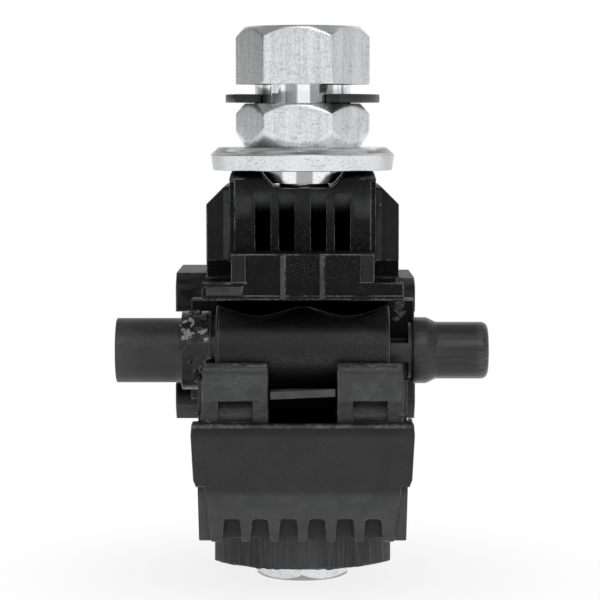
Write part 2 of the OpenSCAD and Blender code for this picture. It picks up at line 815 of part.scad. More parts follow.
// Closed rubber cap on the spigot of the sleeve
module end_cap() {
    collar_end = cap_reach_in + cap_collar_l;
    taper_end = collar_end + cap_taper_l;
    spigot_end = collar_end + spigot_over + cap_gap;
    edge = 0.6;
    mouth_edge = 0.2;
    color(rubber_colour)
        translate([0, tap_y, tap_z])
            rotate([0, 90, 0])
                difference() {
                    rotate_extrude()
                        polygon([[0, cap_reach_in], [cap_collar_r - mouth_edge, cap_reach_in],
                            [cap_collar_r, cap_reach_in + mouth_edge], [cap_collar_r, collar_end],
                            [cap_r, taper_end], [cap_r, cap_reach_out - edge],
                            [cap_r - edge, cap_reach_out], [0, cap_reach_out]]);
                    translate([0, 0, cap_reach_in - eps])
                        cylinder(r = spigot_r + cap_gap, h = spigot_end - cap_reach_in + eps);
                    translate([0, 0, cap_reach_in])
                        cylinder(r = cap_bore_r, h = cap_reach_out - cap_end_t - cap_reach_in);
                }
}

// Side outline of the lower jaw behind its apron
module lower_side() {
    foot_y = 10.5;
    slope_top = [back_y - 1.6, lower_z + 7.2];
    back_low_z = lower_z + 9.8;
    web_y = hole_r + 0.6;
    web_foot_y = web_y + 0.6;
    web_front_y = pad_back_y + 0.2;
    wall_y = tab_back_y - 0.4;
    front_y = apron_y + 0.6;
    front_z = apron_top_z - 1;
    polygon([[front_y + skirt_back, lower_z], [foot_y, lower_z], slope_top, [back_y, back_low_z],
        [back_y, lower_rim_z], [web_foot_y, lower_rim_z], [web_y, web_top_z], [web_front_y, web_top_z],
        [web_front_y, end_wall_z], [wall_y, end_wall_z], [wall_y, front_z], [front_y, front_z],
        [front_y, bend_z]]);
}

// Front outline of the apron and its skirt
module apron_front() {
    corner = 0.3;
    low_z = notch_z - 1.5 * corner;
    high_z = notch_z + corner;
    draft = 0.1;
    draft_z = apron_top_z - 1.2;
    half = [[skirt_w / 2, lower_z], [skirt_top_w / 2, low_z], [apron_low_w / 2 - corner, low_z],
        [apron_low_w / 2, high_z], [apron_w / 2, draft_z], [apron_w / 2 - draft, apron_top_z]];
    polygon([for (p = half) p, for (i = [len(half) - 1 : -1 : 0]) [-half[i][0], half[i][1]]]);
}

// Side outline of the apron and its skirt
module apron_side() {
    edge = 0.25;
    bend_high_z = bend_z + 0.5;
    bend_low = [apron_y + 0.2, bend_z - 0.4];
    back = apron_y + apron_t;
    polygon([[apron_y + skirt_back, lower_z], [back + skirt_back, lower_z], [back, bend_z],
        [back, apron_top_z], [apron_y + edge, apron_top_z], [apron_y, apron_top_z - edge],
        [apron_y, bend_high_z], bend_low]);
}

// The arched slots in the bottom edge of the skirt
module skirt_slots() {
    corner = 0.25;
    slot_deep = 2.2;
    half = [[slot_w / 2, -eps], [slot_w / 2, 0], [slot_top_w / 2, slot_h - corner],
        [slot_top_w / 2 - corner, slot_h]];
    along_y(apron_y - eps, apron_y + skirt_back + slot_deep)
        for (i = [0 : slot_count - 1])
            translate([(i - (slot_count - 1) / 2) * slot_pitch, lower_z])
                polygon([for (p = half) p, for (k = [len(half) - 1 : -1 : 0]) [-half[k][0], half[k][1]]]);
}

// Side outline of a front tab: upright, with a rounded head and a step at its foot
module tab_side() {
    round_r = 0.55 * tab_t;
    root_z = apron_top_z - 2 * eps;
    translate([tab_front_y, root_z])
        square([tab_t, tab_top_z - root_z - round_r]);
    intersection() {
        translate([tab_front_y + round_r, tab_top_z - round_r])
            circle(round_r);
        translate([tab_front_y, tab_top_z - 2 * round_r])
            square(2 * round_r);
    }
    translate([tab_front_y + round_r, tab_top_z - 2 * round_r])
        square([tab_t - round_r, 2 * round_r]);
}

// The two front tabs with the hollows at their feet
module front_tabs() {
    side_w = (tab_w - tab_gap) / 2;
    hollow_front = 0.2;
    middle_x = (tab_w + tab_gap) / 4;
    both_sides()
        difference() {
            translate([middle_x, 0, 0])
                along_x(side_w)
                    tab_side();
            rod_x(tab_front_y - hollow_front, (apron_top_z + tab_step_z) / 2, (tab_step_z - apron_top_z) / 2,
                middle_x - hollow_w / 2, middle_x + hollow_w / 2);
        }
}

// Cores in the slope at the back of the lower jaw, between upright ribs
module back_cores() {
    core_w = 2.7;
    rib_w = 1.2;
    floor_t = 3.5;
    core_y = main_y + 0.9;
    core_top_z = main_z - trough_r - floor_t;
    for (i = [-2 : 2])
        span([i * (core_w + rib_w) - core_w / 2, core_y, lower_z - eps],
            [i * (core_w + rib_w) + core_w / 2, back_y + eps, core_top_z]);
}

// Cores in the sides of the lower jaw, between upright ribs
module side_cores() {
    core_l = 6;
    rib_w = 1.2;
    core_deep = 1.3;
    core_h = 5.8;
    core_z = lower_z + 1.6;
    core_y = tap_y - core_l / 2;
    both_sides()
        for (i = [0 : 2])
            translate([body_w / 2 - core_deep, core_y + i * (core_l + rib_w), core_z])
                cube([core_deep + eps, core_l, core_h]);
}

// Boss round the bolt head: flat at its sides, rounded at its front and back
module boss() {
    intersection() {
        translate([0, 0, head_proud])
            cylinder(r = boss_r, h = lower_z - head_proud + 2 * eps);
        span([-boss_w / 2, -boss_r, head_proud], [boss_w / 2, boss_r, lower_z + 2 * eps]);
    }
}

// Lower jaw: one moulding that carries the bolt head, the tap sleeve and half of the main channel
module lower_jaw() {
    collar_gap = 0.15;
    pocket_back_y = pad_back_y + 0.1;
    ear_low_z = main_z - main_r - lower_ear_floor;
    pit_z = apron_top_z - pit_deep;
    color(jaw_colour)
        difference() {
            union() {
                along_x(body_w)
                    lower_side();
                intersection() {
                    along_x(apron_w + 2 * eps)
                        apron_side();
                    along_y(apron_y - eps, apron_y + skirt_back + apron_t + eps)
                        apron_front();
                }
                front_tabs();
                ear_pair(body_w)
                    ear_side(main_r + lower_ear_t, ear_low_z, lower_rim_z, lower_ear_round);
                span([-fence_w / 2, fence_front_y, lower_rim_z - eps],
                    [fence_w / 2, fence_back_y, fence_top_z]);
                boss();
            }
            skirt_slots();
            back_cores();
            side_cores();
            rod_x(main_y, main_z, trough_r, -trough_l / 2, trough_l / 2);
            rod_x(main_y, main_z, main_r, -ear_l, ear_l);
            span([-pocket_l / 2, tab_back_y, pad_z], [pocket_l / 2, pocket_back_y, tab_top_z + eps]);
            span([-tab_gap / 2, apron_y + pit_wall, pit_z], [tab_gap / 2, tap_y, end_wall_z + eps]);
            rod_x(tap_y, tap_z, collar_r + collar_gap, -body_w, body_w);
            blade_slots(false);
            translate([0, 0, head_proud - eps])
                cylinder(r = hole_r, h = fence_top_z + 2 * eps);
            rotate(head_turn)
                hexagon(head_af + 2 * head_gap, head_h - head_proud + eps, head_proud - eps);
        }
}

// Front outline of the wings
module wing_front() {
    top = top_z - wing_drop;
    polygon([[-wing_w / 2, wing_z], [wing_w / 2, wing_z], [wing_w / 2, top - wing_corner],
        [wing_w / 2 - wing_corner, top], [-wing_w / 2 + wing_corner, top], [-wing_w / 2, top - wing_corner]]);
}

// Side outline of the hood over the main channel: its rim reaches lower behind the cable than beside the bolt
module hood_side() {
    reach = 2 * hood_r;
    difference() {
        intersection() {
            translate([main_y, main_z])
                circle(hood_r);
            translate([main_y - reach, upper_rim_z])
                square([2 * reach, reach]);
        }
        translate([main_y - reach, upper_rim_z - eps])
            square([reach - main_r / 2, flange_z - upper_rim_z + eps]);
    }
}

// Side outline of the tower of the upper jaw, with its roof sloping down over the main channel
module tower_side() {
    polygon([[-panel_y, flange_z], [-panel_y, top_z], [panel_y, top_z], roof_high, roof_low,
        [main_y, flange_z]]);
}

// Sides of the tower, a little wider than the panel, with slanted strips where they meet the wings
module tower_sides() {
    side = top_w / 2;
    front = -panel_y + wing_back;
    span([-side, -panel_y + tower_back, wing_z], [side, 0, top_z - top_h]);
    both_sides()
        translate([0, 0, wing_z])
            linear_extrude(top_z - wing_drop - wing_corner - wing_z)
                polygon([[side - eps, front - strip_size], [side, front - strip_size],
                    [side + strip_size, front], [side + strip_size, front + eps], [side - eps, front + eps]]);
}

// Slots of the panel, shallow under a rounded lintel and deep at their sills
module panel_slots() {
    inner_x = (middle_rib_w + panel_slot_w) / 2;
    outer_x = inner_x + panel_slot_w + thin_rib_w;
    floor_z = flange_z + flange_h;
    difference() {
        both_sides()
            for (x = [inner_x, outer_x])
                span([x - panel_slot_w / 2, -panel_y - eps, floor_z],
                    [x + panel_slot_w / 2, -panel_y + panel_slot_deep, floor_z + panel_slot_h]);
        rod_x(-panel_y + lintel_back + lintel_r, floor_z + panel_slot_h, lintel_r, -panel_w, panel_w);
    }
}

// Cores in the roof over the main channel, between ribs that run down the slope
module roof_cores() {
    core_w = 2.2;
    core_pitch = 3.4;
    core_l = 6.6;
    core_deep = 1.2;
    core_start = 1;
    for (i = [-1.5 : 1.5])
        translate([i * core_pitch, roof_high[0], roof_high[1]])
            rotate([roof_slope, 0, 0])
                span([-core_w / 2, core_start, -core_deep],
                    [core_w / 2, core_start + core_l, core_deep + eps]);
}

// Ribs, bottom lip and the bare raised plate on the face of the flange
module flange_relief() {
    proud = 0.3;
    rib_x = 2.05;
    post_w = 1.4;
    rib_w = 0.55;
    rib_drop = 0.2;
    bottom_top_z = flange_z + 0.5;
    plate_x = -flange_w / 2 + 0.35;
    plate_w = 3.95;
    plate_h = 0.85;
    for (x = [-rib_x, rib_x])
        span([x - rib_w / 2, flange_y - proud, bottom_top_z],
            [x + rib_w / 2, flange_y + eps, flange_z + flange_h - rib_drop]);
    both_sides()
        span([panel_w / 2 - post_w, flange_y - proud, flange_z + flange_corner_h],
            [panel_w / 2 + panel_over, flange_y + eps, flange_z + flange_h]);
    span([-flange_w / 2, flange_y - proud, flange_z], [flange_w / 2, flange_y + eps, bottom_top_z]);
    span([plate_x, flange_y - proud, bottom_top_z],
        [plate_x + plate_w, flange_y + eps, bottom_top_z + plate_h]);
}

// Trough across the top for the dome, with a flat floor
module saddle() {
    along_y(-2 * panel_y, 2 * panel_y)
        intersection() {
            translate([0, dome_z])
                circle(saddle_r);
            translate([-saddle_r, top_z - saddle_h])
                square(2 * saddle_r);
        }
}

// Upper jaw: one moulding that rocks on the dome and carries the other half of both channels
module upper_jaw() {
    flange_top_z = flange_z + flange_h;
    corner_top_z = flange_z + flange_corner_h;
    flange_end_y = upper_pad_back_y + 3;
    ear_top_z = main_z + main_r + upper_ear_roof;
    block_w = panel_w / 2 + panel_over;
    color(jaw_colour)
        difference() {
            union() {
                intersection() {
                    union() {
                        along_x(panel_w)
                            tower_side();
                        span([-top_w / 2, -panel_y, top_z - top_h], [top_w / 2, panel_y, top_z]);
                    }
                    rod_x(0, top_z - crown_r, crown_r, -top_w, top_w);
                }
                along_y(-panel_y + wing_back, panel_y)
                    wing_front();
                tower_sides();
                span([-block_w, flange_y, flange_z], [block_w, 0, flange_top_z]);
                span([-flange_w / 2, flange_y, flange_z], [flange_w / 2, flange_end_y, corner_top_z]);
                flange_relief();
                along_x(wing_w)
                    hood_side();
                ear_pair(wing_w)
                    ear_side(main_r + upper_ear_t, upper_rim_z, ear_top_z, upper_ear_round);
                span([-wing_w / 2, upper_pad_back_y, flange_z], [wing_w / 2, main_y, wing_z + eps]);
            }
            panel_slots();
            roof_cores();
            rod_x(main_y, main_z, trough_r, -trough_l / 2, trough_l / 2);
            rod_x(main_y, main_z, main_r, -ear_l, ear_l);
            span([-roof_seal_l / 2 - seal_gap, upper_pad_front_y, flange_z - eps],
                [roof_seal_l / 2 + seal_gap, upper_pad_back_y, upper_pad_top_z]);
            span([-wing_w, upper_pad_back_y - eps, flange_z - eps], [wing_w, fence_groove_y, fence_groove_z]);
            span([-wing_w, flange_back_y, flange_z - eps], [wing_w, upper_pad_back_y, hollow_top_z]);
            blade_slots(true);
            translate([0, 0, flange_z - eps]) {
                slot_h_up = top_z - flange_z + 2 * eps;
                shift = upper_slot_half - slack_r;
                for (side = [-1, 1])
                    translate([0, side * shift, 0])
                        cylinder(r = slack_r, h = slot_h_up);
                translate([-slack_r, -shift, 0])
                    cube([2 * slack_r, 2 * shift, slot_h_up]);
            }
            saddle();
        }
}

lower_jaw();
clamp_bolt();
lower_main_seal();
lower_tap_seal();
lower_blade_left();
lower_blade_right();
tap_sleeve();
end_cap();
upper_jaw();
upper_main_seal();
upper_tap_seal();
upper_blade_left();
upper_blade_right();
dome_washer();
shear_nut();
stop_ring();
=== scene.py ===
"""Looks of an insulation piercing tap connector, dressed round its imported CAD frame.

Sizes are in metres, unless their comment says millimetres, in the frame of the CAD part: the bolt stands along
+Z with the underside of its head at the origin, the cables run along X, and the tap sleeve lies towards -Y.
"""

import logging
import math
import random
from collections.abc import Callable
from dataclasses import dataclass, replace
from enum import Enum
from typing import Any

import bmesh
import bpy
from mathutils import Matrix, Vector, noise


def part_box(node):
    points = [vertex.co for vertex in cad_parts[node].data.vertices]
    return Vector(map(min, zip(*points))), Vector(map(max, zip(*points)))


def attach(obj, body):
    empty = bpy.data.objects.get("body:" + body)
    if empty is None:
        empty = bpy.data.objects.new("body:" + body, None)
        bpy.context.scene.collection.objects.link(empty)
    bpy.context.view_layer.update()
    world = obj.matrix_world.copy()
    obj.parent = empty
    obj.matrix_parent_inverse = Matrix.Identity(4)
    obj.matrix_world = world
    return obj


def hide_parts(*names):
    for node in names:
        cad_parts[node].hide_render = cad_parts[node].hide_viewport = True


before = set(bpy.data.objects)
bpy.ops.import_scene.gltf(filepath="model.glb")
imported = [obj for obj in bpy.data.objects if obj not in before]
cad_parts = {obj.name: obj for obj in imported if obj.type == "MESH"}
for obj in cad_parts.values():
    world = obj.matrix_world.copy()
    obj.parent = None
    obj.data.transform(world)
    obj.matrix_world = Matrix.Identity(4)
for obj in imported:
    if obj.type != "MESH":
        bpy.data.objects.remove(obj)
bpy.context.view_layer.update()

MM = 0.001
LOG = logging.getLogger("connector")

# Widths of patch edges in millimetres
FINE = (0.05, 0.05, 0.05)
EVEN = (0.2, 0.2, 0.2)
WIDE = (0.3, 0.3, 0.5)

# A range and a place in metres that lie far outside the connector
NOWHERE = (1.0, 2.0)
FAR = 1.0

Pair = tuple[float, float]
Triple = tuple[float, float, float]
Reshape = Callable[[Vector], Vector]
Skins = tuple[bpy.types.Material, ...]


class Body(Enum):
    """The CAD bodies that pieces ride on."""

    LOWER = "lower_body"
    WASHER = "washer_body"
    UPPER = "upper_body"
    NUT = "nut_body"


class Slot(Enum):
    """The material slots of the record."""

    POLYAMIDE = "black_polyamide"
    RUBBER = "black_rubber"
    ALUMINIUM = "bare_aluminium"
    ZINC = "zinc_steel"
    CONTACT = "tinned_contact"
    RING = "ring_plastic"


class Sock:
    """A shader socket that takes part in Python expressions."""

    def __init__(self, shader: "Shader", socket: bpy.types.NodeSocket) -> None:
        """Keeps the shader that owns the socket, so that expressions can add nodes to it."""
        self.shader = shader
        self.socket = socket

    def _math(self, operation: str, first: Any, second: Any = 0.0) -> "Sock":
        """Adds one Math node.

        Args:
            operation: Blender's name of the operation.
            first: Left value or socket.
            second: Right value or socket.

        Returns:
            The result's socket.
        """
        return self.shader.add("ShaderNodeMath", {"operation": operation}, {0: first, 1: second})

    def __add__(self, other: Any) -> "Sock":
        """Self plus other."""
        return self._math("ADD", self, other)

    def __radd__(self, other: Any) -> "Sock":
        """Other plus self."""
        return self._math("ADD", other, self)

    def __sub__(self, other: Any) -> "Sock":
        """Self minus other."""
        return self._math("SUBTRACT", self, other)

    def __rsub__(self, other: Any) -> "Sock":
        """Other minus self."""
        return self._math("SUBTRACT", other, self)

    def __mul__(self, other: Any) -> "Sock":
        """Self times other."""
        return self._math("MULTIPLY", self, other)

    def __rmul__(self, other: Any) -> "Sock":
        """Other times self."""
        return self._math("MULTIPLY", other, self)

    def highest(self, other: Any) -> "Sock":
        """The larger of self and other."""
        return self._math("MAXIMUM", self, other)

    def step(self, low: float, high: float) -> "Sock":
        """A smooth step from 0 at low to 1 at high."""
        settings = {"interpolation_type": "SMOOTHSTEP"}
        return self.shader.add("ShaderNodeMapRange", settings, {0: self, 1: low, 2: high, 3: 0.0, 4: 1.0})

    def band(self, low: float, high: float, soft: float) -> "Sock":
        """One between low and high, fading to 0 over soft on both sides."""
        return self.step(low - soft, low + soft) * (1.0 - self.step(high - soft, high + soft))


class Shader:
    """The node tree of one finish or of the world.

    Attributes:
        LEVEL: Factors that keep only the level part of a vector.
        CHAMFER_LEAN: How far down the normal of a chamfer points, between a wall and an underside.
    """

    LEVEL = (1.0, 1.0, 0.0)
    CHAMFER_LEAN = (-0.9, -0.25)

    def __init__(self, name: str, world: bpy.types.World | None = None) -> None:
        """Starts an empty tree.

        Args:
            name: Name of the material.
            world: The world whose tree is used instead of a material's.
        """
        self.owner = world or bpy.data.materials.new(name)
        self.owner.use_nodes = True
        self.tree = self.owner.node_tree
        self.tree.nodes.clear()

    def add(
        self,
        kind: str,
        settings: dict[str, Any] | None = None,
        inputs: dict[str | int, Any] | None = None,
        out: str | int = 0,
    ) -> Sock | None:
        """Adds one node.

        Args:
            kind: Blender's type of the node.
            settings: Properties of the node, set before its sockets.
            inputs: Values or links of its sockets, by name or number.
            out: The output that is handed back.

        Returns:
            The chosen output, or None for a node without outputs.
        """
        node = self.tree.nodes.new(kind)
        for key, value in (settings or {}).items():
            setattr(node, key, value)
        for key, value in (inputs or {}).items():
            if isinstance(value, Sock):
                self.tree.links.new(value.socket, node.inputs[key])
            else:
                node.inputs[key].default_value = value
        return Sock(self, node.outputs[out]) if node.outputs else None

    def place(self) -> Sock:
        """Position on the piece at rest, in metres."""
        return self.add("ShaderNodeTexCoord", out="Object")

    def axis(self, letter: str) -> Sock:
        """One coordinate of the position on the piece."""
        return self.add("ShaderNodeSeparateXYZ", None, {0: self.place()}, out=letter)

    def vector(self, operation: str, first: Sock, second: Any = (0.0, 0.0, 0.0), out: str | int = 0) -> Sock:
        """Adds one Vector Math node.

        Args:
            operation: Blender's name of the operation.
            first: Left vector.
            second: Right vector or socket.
            out: The output that is handed back.

        Returns:
            The result's socket.
        """
        return self.add("ShaderNodeVectorMath", {"operation": operation}, {0: first, 1: second}, out)

    def stretched(self, grain: Triple) -> Sock:
        """Position scaled so that one unit is the given grain size, in metres, along each axis."""
        return self.vector("MULTIPLY", self.place(), tuple(1.0 / size for size in grain))

    def noise(self, grain: Triple, detail: float = 3.0, rough: float = 0.55, warp: float = 0.0) -> Sock:
        """Fractal noise from 0 to 1 with the given grain size along each axis.

        Args:
            grain: Grain size along X, Y and Z in metres.
            detail: Number of octaves.
            rough: Weight of the finer octaves.
            warp: How far the noise distorts itself.

        Returns:
            The noise value.
        """
        inputs = {"Vector": self.stretched(grain), "Scale": 1.0, "Detail": detail, "Roughness": rough,
                  "Distortion": warp}
        return self.add("ShaderNodeTexNoise", None, inputs)

    def cells(self, grain: Triple) -> Sock:
        """Distance to the nearest of scattered points, in grains."""
        inputs = {"Vector": self.stretched(grain), "Scale": 1.0}
        return self.add("ShaderNodeTexVoronoi", {"feature": "F1"}, inputs)

    def specks(self, size: float, share: float, cover: Sock) -> Sock:
        """Small scattered dots.

        Args:
            size: Mean distance between the dots in metres.
            share: Radius of a dot as a share of that distance.
            cover: Mask of where dots may lie.

        Returns:
            A mask that is 1 in a dot.
        """
        return (1.0 - self.cells((size,) * 3).step(share * 0.5, share)) * cover

    def mix(self, factor: Any, first: Any, second: Any) -> Sock:
        """Mixes two colours.

        Args:
            factor: Share of the second colour.
            first: Colour at 0, as numbers or a socket.
            second: Colour at 1, as numbers or a socket.

        Returns:
            The mixed colour.
        """
        ends = [value if isinstance(value, Sock) else (*value, 1.0) for value in (first, second)]
        settings = {"data_type": "RGBA", "clamp_factor": True}
        return self.add("ShaderNodeMix", settings, {0: factor, 6: ends[0], 7: ends[1]}, out=2)

    def bump(self, height: Sock, depth: float) -> Sock:
        """A normal bumped by a height from 0 to 1, where 1 is the depth in metres."""
        return self.add("ShaderNodeBump", None, {"Strength": 1.0, "Distance": depth, "Height": height})

    def blend(self, factor: Sock, normal: Sock, way: Sock) -> Sock:
        """Mixes a normal with another direction, brought to unit length.

        Args:
            factor: Share of the other direction.
            normal: The normal.
            way: The other direction.

        Returns:
            The new normal.
        """
        worn = self.vector("NORMALIZE", way)
        return self.add("ShaderNodeMix", {"data_type": "VECTOR"}, {0: factor, 4: normal, 5: worn}, out=1)

    def bend(self, factor: Sock, normal: Sock, spread: Triple) -> Sock:
        """Bends a normal towards the way out from the middle of the piece, as on a worn wall.

        Args:
            factor: Share of the bent normal.
            normal: The normal that is bent.
            spread: Weight of the way out along each axis.

        Returns:
            The new normal.
        """
        return self.blend(factor, normal, self.vector("MULTIPLY", self.place(), spread))

    def level(self, share: float, normal: Sock) -> Sock:
        """Levels the normal of chamfers that lean down, as on worn metal that mirrors its front.

        Args:
            share: How far the normals are levelled.
            normal: The normal that is levelled.

        Returns:
            The new normal.
        """
        facing = self.add("ShaderNodeNewGeometry", out="Normal")
        lean = self.add("ShaderNodeSeparateXYZ", None, {0: facing}, out="Z")
        chamfers = lean.band(*self.CHAMFER_LEAN, 0.02)
        return self.blend(share * chamfers, normal, self.vector("MULTIPLY", facing, self.LEVEL))

    def surface(self, **inputs: Any) -> bpy.types.Material:
        """Ends the tree in a Principled shader.

        Args:
            **inputs: Its sockets, with underscores for spaces.

        Returns:
            The finished material.
        """
        named = {key.replace("_", " "): value for key, value in inputs.items()}
        shader = self.add("ShaderNodeBsdfPrincipled", None, named)
        self.add("ShaderNodeOutputMaterial", None, {0: shader})
        return self.owner


class MeshShop:
    """Makes and finishes the meshes of new pieces.

    Attributes:
        SHARP: Angle between faces over which a CAD edge is rounded.
        CREASE: Angle between faces over which shading breaks.
        FLAT: Angle under which CAD facets are one face before the rounding.
        LEVEL: The same after it.
        WELD: Distance under which CAD vertices are one.
        ROOM: Share of a neighbouring edge that a rounding may take.
        SLANT: Least sine of the angle at which a neighbouring edge limits a rounding.
        FACETS: Facets across a rounding.
        HEX_STEPS: Angles in degrees from a hexagon's corner at which its walls are sampled.
        HEX_CORE: Share of a hexagon's half width inside which a profile stays round.
    """

    SHARP = math.radians(32)
    CREASE = math.radians(50)
    FLAT = math.radians(0.8)
    LEVEL = math.radians(0.25)
    WELD = 0.002 * MM
    ROOM = 0.42
    SLANT = 0.35
    FACETS = 2
    HEX_STEPS = (0.25, 0.5, 0.8, 1.2, 1.8, 2.8, 4.5, 8.0, 13.0, 20.0)
    HEX_CORE = 0.6

    @staticmethod
    def new_object(name: str, bm: bmesh.types.BMesh) -> bpy.types.Object:
        """Turns a bmesh into a linked object and frees it.

        Args:
            name: Name of the piece.
            bm: The mesh, in the frame's metres.

        Returns:
            The object.
        """
        mesh = bpy.data.meshes.new(name)
        bm.to_mesh(mesh)
        bm.free()
        made = bpy.data.objects.new(name, mesh)
        bpy.context.scene.collection.objects.link(made)
        return made

    @classmethod
    def settle(cls, made: bpy.types.Object) -> bpy.types.Object:
        """Applies the modifiers of a piece, so that its mesh is final.

        Args:
            made: The piece.

        Returns:
            The same piece.
        """
        graph = bpy.context.evaluated_depsgraph_get()
        mesh = bpy.data.meshes.new_from_object(made.evaluated_get(graph))
        made.modifiers.clear()
        old = made.data
        made.data = mesh
        bpy.data.meshes.remove(old)
        return made

    @classmethod
    def smooth(cls, made: bpy.types.Object) -> bpy.types.Object:
        """Shades round faces smooth and keeps flat ones flat.

        Args:
            made: The piece.

        Returns:
            The same piece.
        """
        bm = bmesh.new()
        bm.from_mesh(made.data)
        for face in bm.faces:
            face.smooth = True
        for edge in bm.edges:
            edge.smooth = edge.calc_face_angle(0.0) < cls.CREASE
        bm.to_mesh(made.data)
        bm.free()
        modifier = made.modifiers.new("Face normals", "WEIGHTED_NORMAL")
        modifier.keep_sharp = True
        modifier.weight = 100
        return cls.settle(made)

    @classmethod
    def _room(cls, edge: bmesh.types.BMEdge, radius: float) -> float:
        """Share of the radius that an edge has room for before it meets its neighbours.

        Args:
            edge: A sharp edge.
            radius: The wanted rounding.

        Returns:
            A share from 0 to 1.
        """
        share = 1.0
        for face in edge.link_faces:
            for loop in face.loops:
                near = loop.edge
                if near is edge or not set(near.verts) & set(edge.verts):
                    continue
                shared = (set(near.verts) & set(edge.verts)).pop()
                along = edge.other_vert(shared).co - shared.co
                aside = near.other_vert(shared).co - shared.co
                slant = math.sin(along.angle(aside, 0.0))
                if slant > cls.SLANT:
                    share = min(share, cls.ROOM * near.calc_length() * slant / radius)
        return share

    @classmethod
    def rounded(
        cls, node: str, name: str, radius: float, skins: Skins, reshape: Reshape | None = None
    ) -> bpy.types.Object:
        """Copies a CAD node with its sharp outer edges rounded, inside the box of the sharp piece.

        Args:
            node: The CAD node.
            name: Name of the new piece.
            radius: Rounding of the edges.
            skins: Finish of the faces and, if given, of the roundings.
            reshape: Moves each vertex before the rounding.

        Returns:
            The new piece.
        """
        bm = bmesh.new()
        bm.from_mesh(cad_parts[node].data)
        bmesh.ops.remove_doubles(bm, verts=bm.verts, dist=cls.WELD)
        bmesh.ops.dissolve_limit(bm, angle_limit=cls.FLAT, verts=bm.verts, edges=bm.edges)
        if reshape:
            for vert in bm.verts:
                vert.co = reshape(vert.co)
        box = [(min(values), max(values)) for values in zip(*(vert.co for vert in bm.verts))]
        weight = bm.edges.layers.float.new("bevel_weight_edge")
        for edge in bm.edges:
            if len(edge.link_faces) == 2 and edge.is_convex and edge.calc_face_angle(0.0) > cls.SHARP:
                edge[weight] = cls._room(edge, radius)
        bmesh.ops.triangulate(bm, faces=bm.faces)
        made = cls.new_object(name, bm)
        for skin in skins:
            made.data.materials.append(skin)
        modifier = made.modifiers.new("Rounding", "BEVEL")
        modifier.limit_method = "WEIGHT"
        modifier.width = radius
        modifier.segments = cls.FACETS
        modifier.use_clamp_overlap = False
        modifier.material = len(skins) - 1
        cls.settle(made)
        for vert in made.data.vertices:
            vert.co = [min(max(value, low), high) for value, (low, high) in zip(vert.co, box)]
        cls._merge_flats(made)
        return cls.smooth(made)

    @classmethod
    def _merge_flats(cls, made: bpy.types.Object) -> None:
        """Joins the triangles of each flat face, so that its shading stays even.

        Args:
            made: The piece.
        """
        bm = bmesh.new()
        bm.from_mesh(made.data)
        bmesh.ops.dissolve_limit(
            bm, angle_limit=cls.LEVEL, verts=bm.verts, edges=bm.edges, delimit={"MATERIAL"})
        bm.to_mesh(made.data)
        bm.free()

    @classmethod
    def lathe(
        cls, name: str, profile: list[Pair], segments: int, ripple: Callable[[float, float], float]
    ) -> bpy.types.Object:
        """Turns a closed profile about the X axis.

        Args:
            name: Name of the piece.
            profile: Points (x, r) from the axis back to the axis.
            segments: Number of facets round the axis.
            ripple: Factor on the radius, from the angle and x.

        Returns:
            The new piece, about the X axis.
        """
        bm = bmesh.new()
        rings = []
        for x, r in profile:
            if r == 0.0:
                rings.append([bm.verts.new((x, 0.0, 0.0))] * segments)
                continue
            ring = []
            for i in range(segments):
                angle = 2 * math.pi * i / segments
                wide = r * ripple(angle, x)
                ring.append(bm.verts.new((x, wide * math.cos(angle), wide * math.sin(angle))))
            rings.append(ring)
        for first, second in zip(rings, rings[1:]):
            for i in range(segments):
                j = (i + 1) % segments
                corners = dict.fromkeys((first[i], first[j], second[j], second[i]))
                if len(corners) > 2:
                    bm.faces.new(list(corners))
        bmesh.ops.recalc_face_normals(bm, faces=bm.faces)
        return cls.new_object(name, bm)

    @classmethod
    def hex_turned(
        cls, name: str, profile: list[Pair], flats: float, turn: float, soft: float
    ) -> bpy.types.Object:
        """Turns a closed profile about the Z axis and trims it to a hexagon with softened edges.

        Args:
            name: Name of the piece.
            profile: Points (r, z) of a closed loop.
            flats: Width across the flats.
            turn: Angle of one corner.
            soft: Rounding where two surfaces meet.

        Returns:
            The new piece.
        """
        half, third = math.radians(30), math.radians(60)
        sector = [-step for step in reversed(cls.HEX_STEPS)] + [0.0, *cls.HEX_STEPS, 30.0]
        angles = [turn + math.radians(60 * k + step) for k in range(6) for step in sector]
        rings = []
        for r, z in profile:
            ring = []
            for angle in angles:
                bend = half - abs((angle - turn + half) % third - half)
                walls = [flats / 2 / math.cos(bend), flats / 2 / math.cos(third - bend)]
                reach = cls._soft_least(cls._soft_least(*walls, soft), r, 0.6 * soft)
                wide = r if r < cls.HEX_CORE * flats / 2 else reach
                ring.append(Vector((wide * math.cos(angle), wide * math.sin(angle), z)))
            rings.append(ring)
        return cls.loft(name, rings)

    @classmethod
    def oval_turned(cls, name: str, profile: list[Triple], segments: int) -> bpy.types.Object:
        """Turns a closed profile about the Z axis, with its own reach along X and Y.

        Args:
            name: Name of the piece.
            profile: Points (reach along X, reach along Y, z) of a closed loop.
            segments: Number of facets round the axis.

        Returns:
            The new piece.
        """
        turns = [2 * math.pi * i / segments for i in range(segments)]
        ways = [(math.cos(turn), math.sin(turn)) for turn in turns]
        return cls.loft(name, [[Vector((x * c, y * s, z)) for c, s in ways] for x, y, z in profile])

    @classmethod
    def loft(cls, name: str, rings: list[list[Vector]]) -> bpy.types.Object:
        """Joins closed rings, and the last ring with the first.

        Args:
            name: Name of the piece.
            rings: Points of each ring, in the same order.

        Returns:
            The new piece.
        """
        bm = bmesh.new()
        loops = [[bm.verts.new(point) for point in ring] for ring in rings]
        for first, second in zip(loops, loops[1:] + loops[:1]):
            for i in range(len(first)):
                j = (i + 1) % len(first)
                bm.faces.new((first[i], first[j], second[j], second[i]))
        bmesh.ops.recalc_face_normals(bm, faces=bm.faces)
        return cls.new_object(name, bm)

